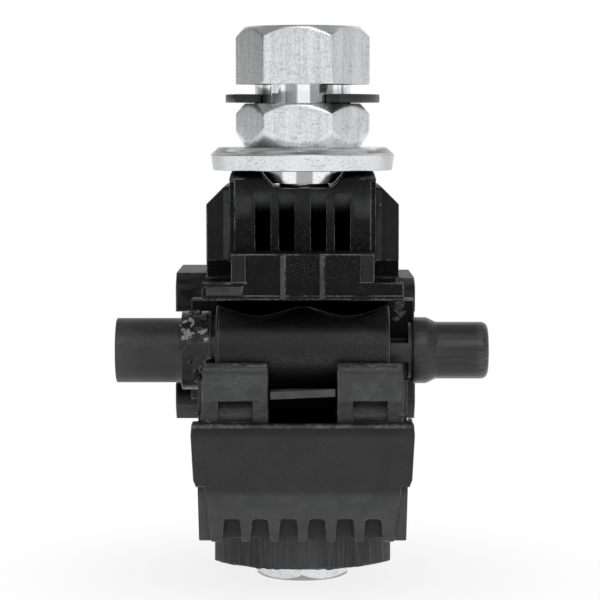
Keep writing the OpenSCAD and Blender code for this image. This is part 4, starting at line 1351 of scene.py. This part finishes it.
@dataclass
class LowerJaw:
    """Lower moulding with its seals, blades and torn flash.

    Attributes:
        edge: Rounding of the moulding's edges.
        seal_edge: Rounding of the seals' edges.
        boss_r: Radius of the front and back of the boss round the bolt head.
        boss_half: Half the width of the boss between its flat sides.
        boss_z: Height of the bottom of the boss.
        rim_steps: Sections of the ragged rim round the boss.
        rim_drop: How far the rim hangs down.
        rim_rise: How far it is sunk in the boss.
        rim_inset: Distance of its outer and inner wall from the wall of the boss.
        lip_front: Distance along Y in front of which the seal's lip is bent.
        lip_slope: Slope of the bent lip along X.
        apron_corner: Right end of the apron's top edge, in millimetres.
    """

    edge: float = 0.16 * MM
    seal_edge: float = 0.1 * MM
    boss_r: float = 11.45 * MM
    boss_half: float = 9.6 * MM
    boss_z: float = 2.55 * MM
    rim_steps: int = 240
    rim_drop: float = 0.22 * MM
    rim_rise: float = 0.3 * MM
    rim_inset: Pair = (0.12 * MM, 0.5 * MM)
    lip_front: float = -14.3 * MM
    lip_slope: float = 0.045
    apron_corner: Triple = (10.9, -15.6, 19.2)

    def build(self, finishes: Finishes) -> None:
        """Builds and dresses every piece of the lower jaw.

        Args:
            finishes: The built materials.
        """
        moulding = MeshShop.rounded("lower_jaw", "lower_jaw_moulding", self.edge, finishes.lower)
        dress(moulding, finishes.lower, Body.LOWER, ("lower_jaw",))
        for node, skins, reshape in (
            ("lower_main_seal", finishes.rubber, None), ("lower_tap_seal", finishes.pad, self._bend_lip),
        ):
            seal = MeshShop.rounded(node, f"{node}_rubber", self.seal_edge, skins, reshape)
            dress(seal, skins, Body.LOWER, (node,))
        for node in ("lower_blade_left", "lower_blade_right"):
            dress_node(node, *finishes.contact)
        self._ragged_boss(finishes)
        self._torn_flash(finishes)

    def _bend_lip(self, point: Vector) -> Vector:
        """Tilts the free lip of the tap seal.

        Args:
            point: A vertex of the CAD seal.

        Returns:
            Its new place.
        """
        if point.y > self.lip_front:
            return point
        return point + Vector((0.0, 0.0, self.lip_slope * point.x))

    def _ragged_boss(self, finishes: Finishes) -> None:
        """Adds the uneven moulding edge under the boss.

        Args:
            finishes: The built materials.
        """
        sections = []
        for i in range(self.rim_steps):
            angle = 2 * math.pi * i / self.rim_steps
            way = Vector((math.cos(angle), math.sin(angle), 0.0))
            drop = noise.noise(way * 5.0) + 0.6 * noise.noise(way * 17.0)
            low = Vector((0, 0, self.boss_z - self.rim_drop * max(0.05, drop)))
            high = Vector((0, 0, self.boss_z + self.rim_rise))
            reach = min(self.boss_r, self.boss_half / max(abs(way.x), 0.01))
            outer, inner = (way * (reach - inset) for inset in self.rim_inset)
            sections.append([outer + high, outer + low, inner + low, inner + high])
        rim = MeshShop.strip("boss_flash", sections, closed=True)
        dress(MeshShop.smooth(rim), finishes.lower, Body.LOWER)

    def _torn_flash(self, finishes: Finishes) -> None:
        """Adds the torn moulding flash at both ends of the apron's top edge.

        Args:
            finishes: The built materials.
        """
        draw = random.Random(11)
        places = []
        for side, spread, count in ((-1, 1.2, 7), (1, 0.8, 6)):
            for _ in range(count):
                away = drawn(draw, (-spread, 0.3), (-0.5, 0.4), (-0.1, 0.9))
                middle = Vector(self.apron_corner) * MM + away
                middle.x *= side
                places.append((middle, drawn(draw, (0.15, 0.4), (0.15, 0.3), (0.15, 0.35))))
        flash = MeshShop.crumbs("apron_flash", places, 12)
        dress(flash, finishes.flash, Body.LOWER)


@dataclass
class TapSleeve:
    """Rubber sleeve of the tap cable with its end cap.

    Attributes:
        edge: Rounding of the sleeve's edges.
        axis_y: Place of the cable axis along Y.
        axis_z: Height of the cable axis.
        collar_r: Radius of the collar at the entry.
        collar_x: Range of the greased part of the collar along X, in millimetres.
        grease_sunk: How far the grease is sunk in the collar.
        cap_r: Radius of the cap's tube.
        cap_collar_r: Radius of the collar at its mouth.
        cap_socket_r: Radius of the widening inside the mouth.
        cap_bore_r: Radius of its bore.
        cap_round: Rounding of its closed end.
        cap_collar: Length of its collar.
        cap_cone: Distance from the mouth at which the tube begins.
        cap_socket: Depth of the widening.
        cap_wall: Thickness of the closed end.
        cap_facets: Facets round the cap.
        crease: Depth of the creases along the cap, as a share of its radius.
        crease_count: Number of creases round the cap.
    """

    edge: float = 0.12 * MM
    axis_y: float = -9.37 * MM
    axis_z: float = 26.0 * MM
    collar_r: float = 4.2 * MM
    collar_x: Pair = (-12.6, -9.9)
    grease_sunk: float = 0.05 * MM
    cap_r: float = 3.05 * MM
    cap_collar_r: float = 3.55 * MM
    cap_socket_r: float = 3.0 * MM
    cap_bore_r: float = 2.35 * MM
    cap_round: float = 0.7 * MM
    cap_collar: float = 1.5 * MM
    cap_cone: float = 2.7 * MM
    cap_socket: float = 2.05 * MM
    cap_wall: float = 1.2 * MM
    cap_facets: int = 84
    crease: float = 0.014
    crease_count: int = 7

    def build(self, finishes: Finishes) -> None:
        """Builds and dresses the sleeve, its grease and its cap.

        Args:
            finishes: The built materials.
        """
        sleeve = MeshShop.rounded("tap_sleeve", "sleeve_moulding", self.edge, finishes.sleeve)
        dress(sleeve, finishes.sleeve, Body.LOWER, ("tap_sleeve",))
        low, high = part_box("end_cap")
        profile = self._cap_profile(low.x, high.x)
        cap = MeshShop.lathe("end_cap_rubber", profile, self.cap_facets, self._ripple)
        cap.data.transform(Matrix.Translation((0.0, self.axis_y, self.axis_z)))
        dress(MeshShop.smooth(cap), finishes.cap, Body.LOWER, ("end_cap",))
        self._grease(finishes)

    def _grease(self, finishes: Finishes) -> None:
        """Adds lumps of sealing grease round the front of the collar; the pale ones at its top front are a
        painted glint.

        Args:
            finishes: The built materials.
        """
        draw = random.Random(5)
        reach = self.collar_r - self.grease_sunk
        for name, count, angles, skins in (
            # Pale lumps at the top front, a painted glint on the grease
            ("collar_grease_painted_glint", 11, (126, 160), finishes.grease),
            ("collar_grease", 26, (100, 225), finishes.wet),
        ):
            places = []
            for _ in range(count):
                angle = math.radians(draw.uniform(*angles))
                y, z = self.axis_y + reach * math.cos(angle), self.axis_z + reach * math.sin(angle)
                middle = Vector((draw.uniform(*self.collar_x) * MM, y, z))
                places.append((middle, drawn(draw, (0.15, 0.6), (0.08, 0.2), (0.12, 0.35))))
            dress(MeshShop.crumbs(name, places, 6), skins, Body.LOWER)

    def _cap_profile(self, near: float, far: float) -> list[Pair]:
        """Profile of the cap, from the axis at its closed end round to its mouth and back up the bore.

        Args:
            near: Place of the mouth along X.
            far: Place of the closed end along X.

        Returns:
            Points (x, r).
        """
        tube, collar, ease, lip = self.cap_r, self.cap_collar_r, 0.06 * MM, 0.25 * MM
        cone, step = near + self.cap_cone, near + self.cap_collar
        outer = [(far, 0.0), (far, 0.5 * tube)]
        for i in range(6):
            angle = math.pi / 2 * i / 5
            inset, drop = 1 - math.cos(angle), 1 - math.sin(angle)
            outer.append((far - self.cap_round * inset, tube - self.cap_round * drop))
        outer += [(far - (far - near) * share, tube) for share in (0.15, 0.22, 0.3, 0.4, 0.5, 0.58, 0.64)]
        outer += [
            (cone, tube), (cone - 0.2 * MM, tube + ease), (step + lip, collar - ease), (step, collar),
            (near + lip, collar), (near + 0.07 * MM, collar - 0.07 * MM), (near, collar - lip),
        ]
        mouth, floor = near + self.cap_socket, far - self.cap_wall
        inner = [
            (near, self.cap_socket_r), (mouth, self.cap_socket_r), (mouth, self.cap_bore_r),
            (floor, self.cap_bore_r), (floor, 0.0),
        ]
        return outer + inner

    def _ripple(self, angle: float, x: float) -> float:
        """Factor on the cap's radius that leaves shallow creases along it.

        Args:
            angle: Angle round the cap.
            x: Place along the cap.

        Returns:
            The factor.
        """
        wave = abs(math.sin(0.5 * self.crease_count * angle + 0.4))
        return 1.0 - self.crease * (1.0 - wave) ** 2 * (1.0 + 0.3 * math.sin(900.0 * x))


@dataclass
class UpperJaw:
    """Upper moulding with its seals, blades and torn flash.

    Attributes:
        edge: Rounding of the moulding's edges.
        seal_edge: Rounding of the seals' edges.
        ear_x: Distance along X beyond which the ears stand out.
        ear_z: Heights between which the tops of the ears are worn down.
        ear_drop: How far the left and the right ear are worn down.
        flash_top: Place under the flange where its flash hangs, in millimetres.
        flash_lumps: Number of lumps in that flash.
        flash_pitch: Distance between the lumps in millimetres.
    """

    edge: float = 0.15 * MM
    seal_edge: float = 0.1 * MM
    ear_x: float = 10.05 * MM
    ear_z: Pair = (32.0 * MM, 33.9 * MM)
    ear_drop: Pair = (0.5 * MM, 1.1 * MM)
    flash_top: Triple = (10.0, -15.4, 31.7)
    flash_lumps: int = 13
    flash_pitch: float = 0.15

    def build(self, finishes: Finishes) -> None:
        """Builds and dresses every piece of the upper jaw.

        Args:
            finishes: The built materials.
        """
        moulding = MeshShop.rounded(
            "upper_jaw", "upper_jaw_moulding", self.edge, finishes.upper, self._wear_ears)
        dress(moulding, finishes.upper, Body.UPPER, ("upper_jaw",))
        for node in ("upper_main_seal", "upper_tap_seal"):
            seal = MeshShop.rounded(node, f"{node}_rubber", self.seal_edge, finishes.rubber)
            dress(seal, finishes.rubber, Body.UPPER, (node,))
        for node in ("upper_blade_left", "upper_blade_right"):
            dress_node(node, *finishes.contact)
        self._torn_flash(finishes)

    def _wear_ears(self, point: Vector) -> Vector:
        """Wears the tops of the ears down.

        Args:
            point: A vertex of the CAD moulding.

        Returns:
            Its new place.
        """
        low, high = self.ear_z
        if abs(point.x) < self.ear_x or point.y < 0.0 or not low < point.z < high:
            return point
        drop = self.ear_drop[0 if point.x < 0.0 else 1]
        return point - Vector((0.0, 0.0, drop * (point.z - low) / (high - low)))

    def _torn_flash(self, finishes: Finishes) -> None:
        """Adds the torn moulding flash under the right end of the flange.

        Args:
            finishes: The built materials.
        """
        draw = random.Random(3)
        places = []
        for i in range(self.flash_lumps):
            sway = Vector((0.3 * math.sin(0.9 * i), draw.uniform(-0.1, 0.1), -self.flash_pitch * i))
            half = drawn(draw, (0.3, 0.5), (0.25, 0.35), (0.25, 0.35))
            places.append(((Vector(self.flash_top) + sway) * MM, half * (1.0 - 0.03 * i)))
        flash = MeshShop.crumbs("flange_flash", places, 8)
        dress(flash, finishes.shred, Body.UPPER)


@dataclass
class NutStack:
    """Shear nut, split ring and domed washer.

    Attributes:
        nut_edge: Rounding of the nut's edges.
        nut_turn: Angle of one corner of the nut.
        flats: Width of the nut across its flats.
        neck_r: Radius of the shear neck.
        bore_r: Radius of the nut's bore.
        bore_chamfer: Chamfer of the bore at the top.
        chamfer: How far the chamfers cut the corners.
        hold_z: Heights of the holding hexagon's foot, chamfers and top.
        drive_z: Heights of the drive hexagon's foot, chamfer and top.
        nut_lip: Width of the small bevel at the nut's faces.
        neck_round: Rounding at both ends of the neck.
        washer_edge: Rounding of the washer's edges.
        washer_bore: Radius of the washer's bore.
        washer_z: Heights of the dome's foot, and of the washer's underside, shoulder and top.
        washer_rim: Radius of the washer.
        washer_crown: Radius of its top face.
        washer_draft: How far its rim leans in.
        washer_facets: Facets round it.
        dome_r: Radius of the dome.
        dome_z: Height of the middle of the dome.
        dome_steps: Rings of facets on the dome.
        dome_y: Reach of the steep front and back of the dome.
        dome_tuck: How far they are drawn in at the foot.
        ring_edge: Rounding of the ring's edges.
        ring_end: Angle of the ring's left end from the front in degrees, in the CAD part.
        ring_sprung: The same angle of the ring as it sits, sprung open.
    """

    nut_edge: float = 0.07 * MM
    nut_turn: float = math.radians(-5)
    flats: float = 13 * MM
    neck_r: float = 5.25 * MM
    bore_r: float = 3.1 * MM
    bore_chamfer: float = 0.7 * MM
    chamfer: float = 1.1 * MM
    hold_z: tuple[float, ...] = (47.62 * MM, 49.47 * MM, 51.22 * MM, 52.42 * MM)
    drive_z: tuple[float, ...] = (54.52 * MM, 59.62 * MM, 60.82 * MM)
    nut_lip: float = 0.06 * MM
    neck_round: Pair = (0.1 * MM, 0.12 * MM)
    washer_edge: float = 0.09 * MM
    washer_bore: float = 3.3 * MM
    washer_z: tuple[float, ...] = (43.65 * MM, 45.12 * MM, 46.82 * MM, 47.62 * MM)
    washer_rim: float = 10.15 * MM
    washer_crown: float = 9.25 * MM
    washer_draft: float = 0.25 * MM
    washer_facets: int = 144
    dome_r: float = 5.12 * MM
    dome_z: float = 47.562 * MM
    dome_steps: int = 14
    dome_y: float = 4.46 * MM
    dome_tuck: float = 0.9 * MM
    ring_edge: float = 0.12 * MM
    ring_end: float = 34.0
    ring_sprung: float = 58.0

    def build(self, finishes: Finishes) -> None:
        """Builds and dresses the stack.

        Args:
            finishes: The built materials.
        """
        nut = MeshShop.hex_turned(
            "shear_nut_bar", self._nut_profile(), self.flats, self.nut_turn, self.nut_edge)
        dress(MeshShop.smooth(nut), finishes.aluminium, Body.NUT, ("shear_nut",))
        ring = MeshShop.rounded("stop_ring", "stop_ring_nylon", self.ring_edge, finishes.ring, self._spring)
        dress(ring, finishes.ring, Body.NUT, ("stop_ring",))
        washer = MeshShop.oval_turned("dome_washer_plated", self._washer_profile(), self.washer_facets)
        dress(MeshShop.smooth(washer), finishes.washer, Body.WASHER, ("dome_washer",))

    def _spring(self, point: Vector) -> Vector:
        """Springs the left end of the split ring open.

        Args:
            point: A vertex of the CAD ring.

        Returns:
            Its new place.
        """
        angle = math.degrees(math.atan2(-point.x, -point.y))
        if angle <= 0.0:
            return point
        turn = (180.0 - angle) * (self.ring_sprung - self.ring_end) / (180.0 - self.ring_end)
        return Matrix.Rotation(-math.radians(turn), 3, "Z") @ point

    def _washer_profile(self) -> list[Triple]:
        """Profile of the washer, whose dome is steeper at its front and back, where it does not bear.

        Returns:
            Points (reach along X, reach along Y, z), from the foot of the bore round and back.
        """
        foot, under, shoulder, top = self.washer_z
        rim, crown, edge = self.washer_rim, self.washer_crown, self.washer_edge
        wall = rim - self.washer_draft
        profile = [(self.washer_bore, self.washer_bore, foot)]
        for i in range(self.dome_steps + 1):
            share = i / self.dome_steps
            z = foot + (under - foot) * share
            reach = math.sqrt(self.dome_r ** 2 - (z - self.dome_z) ** 2)
            steep = self.dome_y - self.dome_tuck * (1 - share) ** 4
            profile.append((reach, max(reach, steep), z))
        outer = [
            (wall - edge, under), (wall - 0.3 * edge, under + 0.3 * edge), (wall, under + edge),
            (rim - 0.2 * self.washer_draft, shoulder - 1.5 * edge), (rim - 0.2 * edge, shoulder - 0.5 * edge),
            (rim - 0.5 * edge, shoulder + 0.3 * edge), (rim - 1.2 * edge, shoulder + edge),
            (crown + 1.2 * edge, top - edge), (crown + 0.4 * edge, top - 0.3 * edge),
            (crown - 0.5 * edge, top), (self.washer_bore, top),
        ]
        return profile + [(r, r, z) for r, z in outer]

    def _nut_profile(self) -> list[Pair]:
        """Profile of the turned blank of the nut, from the foot of its bore round and back.

        Returns:
            Points (r, z).
        """
        corner, lip = self.flats / math.sqrt(3), self.nut_lip
        low, foot, shoulder, neck = self.hold_z
        drive, crown, top = self.drive_z
        face, (neck_foot, neck_top) = corner - self.chamfer, self.neck_round
        return [
            (self.bore_r, low), (face - lip, low),
            *self._run((face, low + 0.5 * lip), (corner, foot), 26),
            *self._run((corner, foot), (corner, shoulder), 6)[1:],
            *self._run((corner, shoulder), (face, neck - 0.5 * lip), 22)[1:],
            (face - lip, neck), (self.neck_r + neck_foot, neck), (self.neck_r, neck + neck_foot),
            (self.neck_r, drive - neck_top), (self.neck_r + neck_top, drive), (corner - lip, drive),
            *self._run((corner, drive + lip), (corner, crown), 12),
            *self._run((corner, crown), (face, top - 0.5 * lip), 22)[1:],
            (face - lip, top), (self.bore_r + self.bore_chamfer, top), (self.bore_r, top - self.bore_chamfer),
        ]

    @staticmethod
    def _run(start: Pair, end: Pair, count: int) -> list[Pair]:
        """Evenly spaced points from start to end, both included."""
        return [tuple(a + (b - a) * i / count for a, b in zip(start, end)) for i in range(count + 1)]


@dataclass
class Studio:
    """White table, surrounding light and the camera at the photo's viewing angle.

    Attributes:
        floor_half: Half the width of the floor.
        floor_z: Height of the floor, just under the bolt head.
        lamp_place: Where the softbox hangs.
        lamp_aim: The point that it faces.
        lamp_size: Width of the softbox.
        lamp_power: Its power in watts.
        aim: Point in the middle of the picture.
        camera_y: Place of the camera along Y.
        camera_z: Height of the camera.
        focal_px: Focal length in pixels of the picture.
        frame_px: Width of the picture in pixels.
        sensor: Width of the camera's sensor in millimetres.
        clip_start: Distance from which the camera sees.
    """

    floor_half: float = 1.5
    floor_z: float = -0.02 * MM
    lamp_place: Triple = (0.08, -0.5, 0.5)
    lamp_aim: Triple = (0.0, 0.0, 0.03)
    lamp_size: float = 0.4
    lamp_power: float = 0.7
    aim: Triple = (-0.28 * MM, 0.0, 30.65 * MM)
    camera_y: float = -252.3 * MM
    camera_z: float = 50.65 * MM
    focal_px: float = 2275.0
    frame_px: float = 600.0
    sensor: float = 36.0
    clip_start: float = 0.01

    def build(self) -> None:
        """Sets up the floor, the light and the camera."""
        self._floor()
        self._world()
        self._softbox()
        self._camera()
        bpy.context.scene.view_settings.view_transform = "Standard"

    def _floor(self) -> None:
        """Lays the floor just under the bolt head."""
        bm = bmesh.new()
        bmesh.ops.create_grid(bm, x_segments=1, y_segments=1, size=self.floor_half)
        floor = MeshShop.new_object("floor", bm)
        floor.location.z = self.floor_z
        floor.data.materials.append(StudioWhite("studio_white").build())

    def _world(self) -> None:
        """Surrounds the object with soft white light that is dimmer at the left."""
        world = bpy.data.worlds.new("studio")
        bpy.context.scene.world = world
        shader = Shader("studio", world)
        direction = shader.add("ShaderNodeTexCoord", out="Generated")
        sideways, upward = (
            shader.add("ShaderNodeSeparateXYZ", None, {0: direction}, out=letter) for letter in "XZ")
        around = 0.17 + 0.73 * sideways.step(-0.92, -0.2) - 0.23 * sideways.step(0.4, 0.9)
        level = around * (1.0 - 0.6 * upward.step(0.45, 0.9))
        camera = shader.add("ShaderNodeLightPath", out="Is Camera Ray")
        strength = camera + (1.0 - camera) * level
        inputs = {"Color": (1.0, 1.0, 1.0, 1.0), "Strength": strength}
        background = shader.add("ShaderNodeBackground", None, inputs)
        shader.add("ShaderNodeOutputWorld", None, {0: background})

    @staticmethod
    def _hang(name: str, data: bpy.types.ID, place: Triple, aim: Triple) -> bpy.types.Object:
        """Links a lamp or a camera that faces a point.

        Args:
            name: Name of the object.
            data: The lamp's or the camera's data.
            place: Where it hangs.
            aim: The point that it faces.

        Returns:
            The object.
        """
        hung = bpy.data.objects.new(name, data)
        bpy.context.scene.collection.objects.link(hung)
        hung.location = place
        hung.rotation_mode = "QUATERNION"
        hung.rotation_quaternion = (Vector(aim) - Vector(place)).to_track_quat("-Z", "Y")
        return hung

    def _softbox(self) -> None:
        """Hangs a square lamp over the front of the object."""
        data = bpy.data.lights.new("top_softbox", "AREA")
        data.shape = "SQUARE"
        data.size = self.lamp_size
        data.energy = self.lamp_power
        self._hang("top_softbox", data, self.lamp_place, self.lamp_aim)

    def _camera(self) -> None:
        """Puts the camera where the photo was taken."""
        data = bpy.data.cameras.new("photo_camera")
        data.sensor_width = self.sensor
        data.lens = self.sensor * self.focal_px / self.frame_px
        data.clip_start = self.clip_start
        data.dof.use_dof = False
        place = (self.aim[0], self.camera_y, self.camera_z)
        bpy.context.scene.camera = self._hang("photo_camera", data, place, self.aim)


def main() -> None:
    """Builds the connector and its studio."""
    logging.basicConfig(level=logging.INFO, format="%(name)s: %(message)s")
    finishes = Finishes.build()
    for assembly in (ClampBolt(), LowerJaw(), TapSleeve(), UpperJaw(), NutStack()):
        assembly.build(finishes)
    Studio().build()
    bpy.context.view_layer.update()


if __name__ == "__main__":
    main()
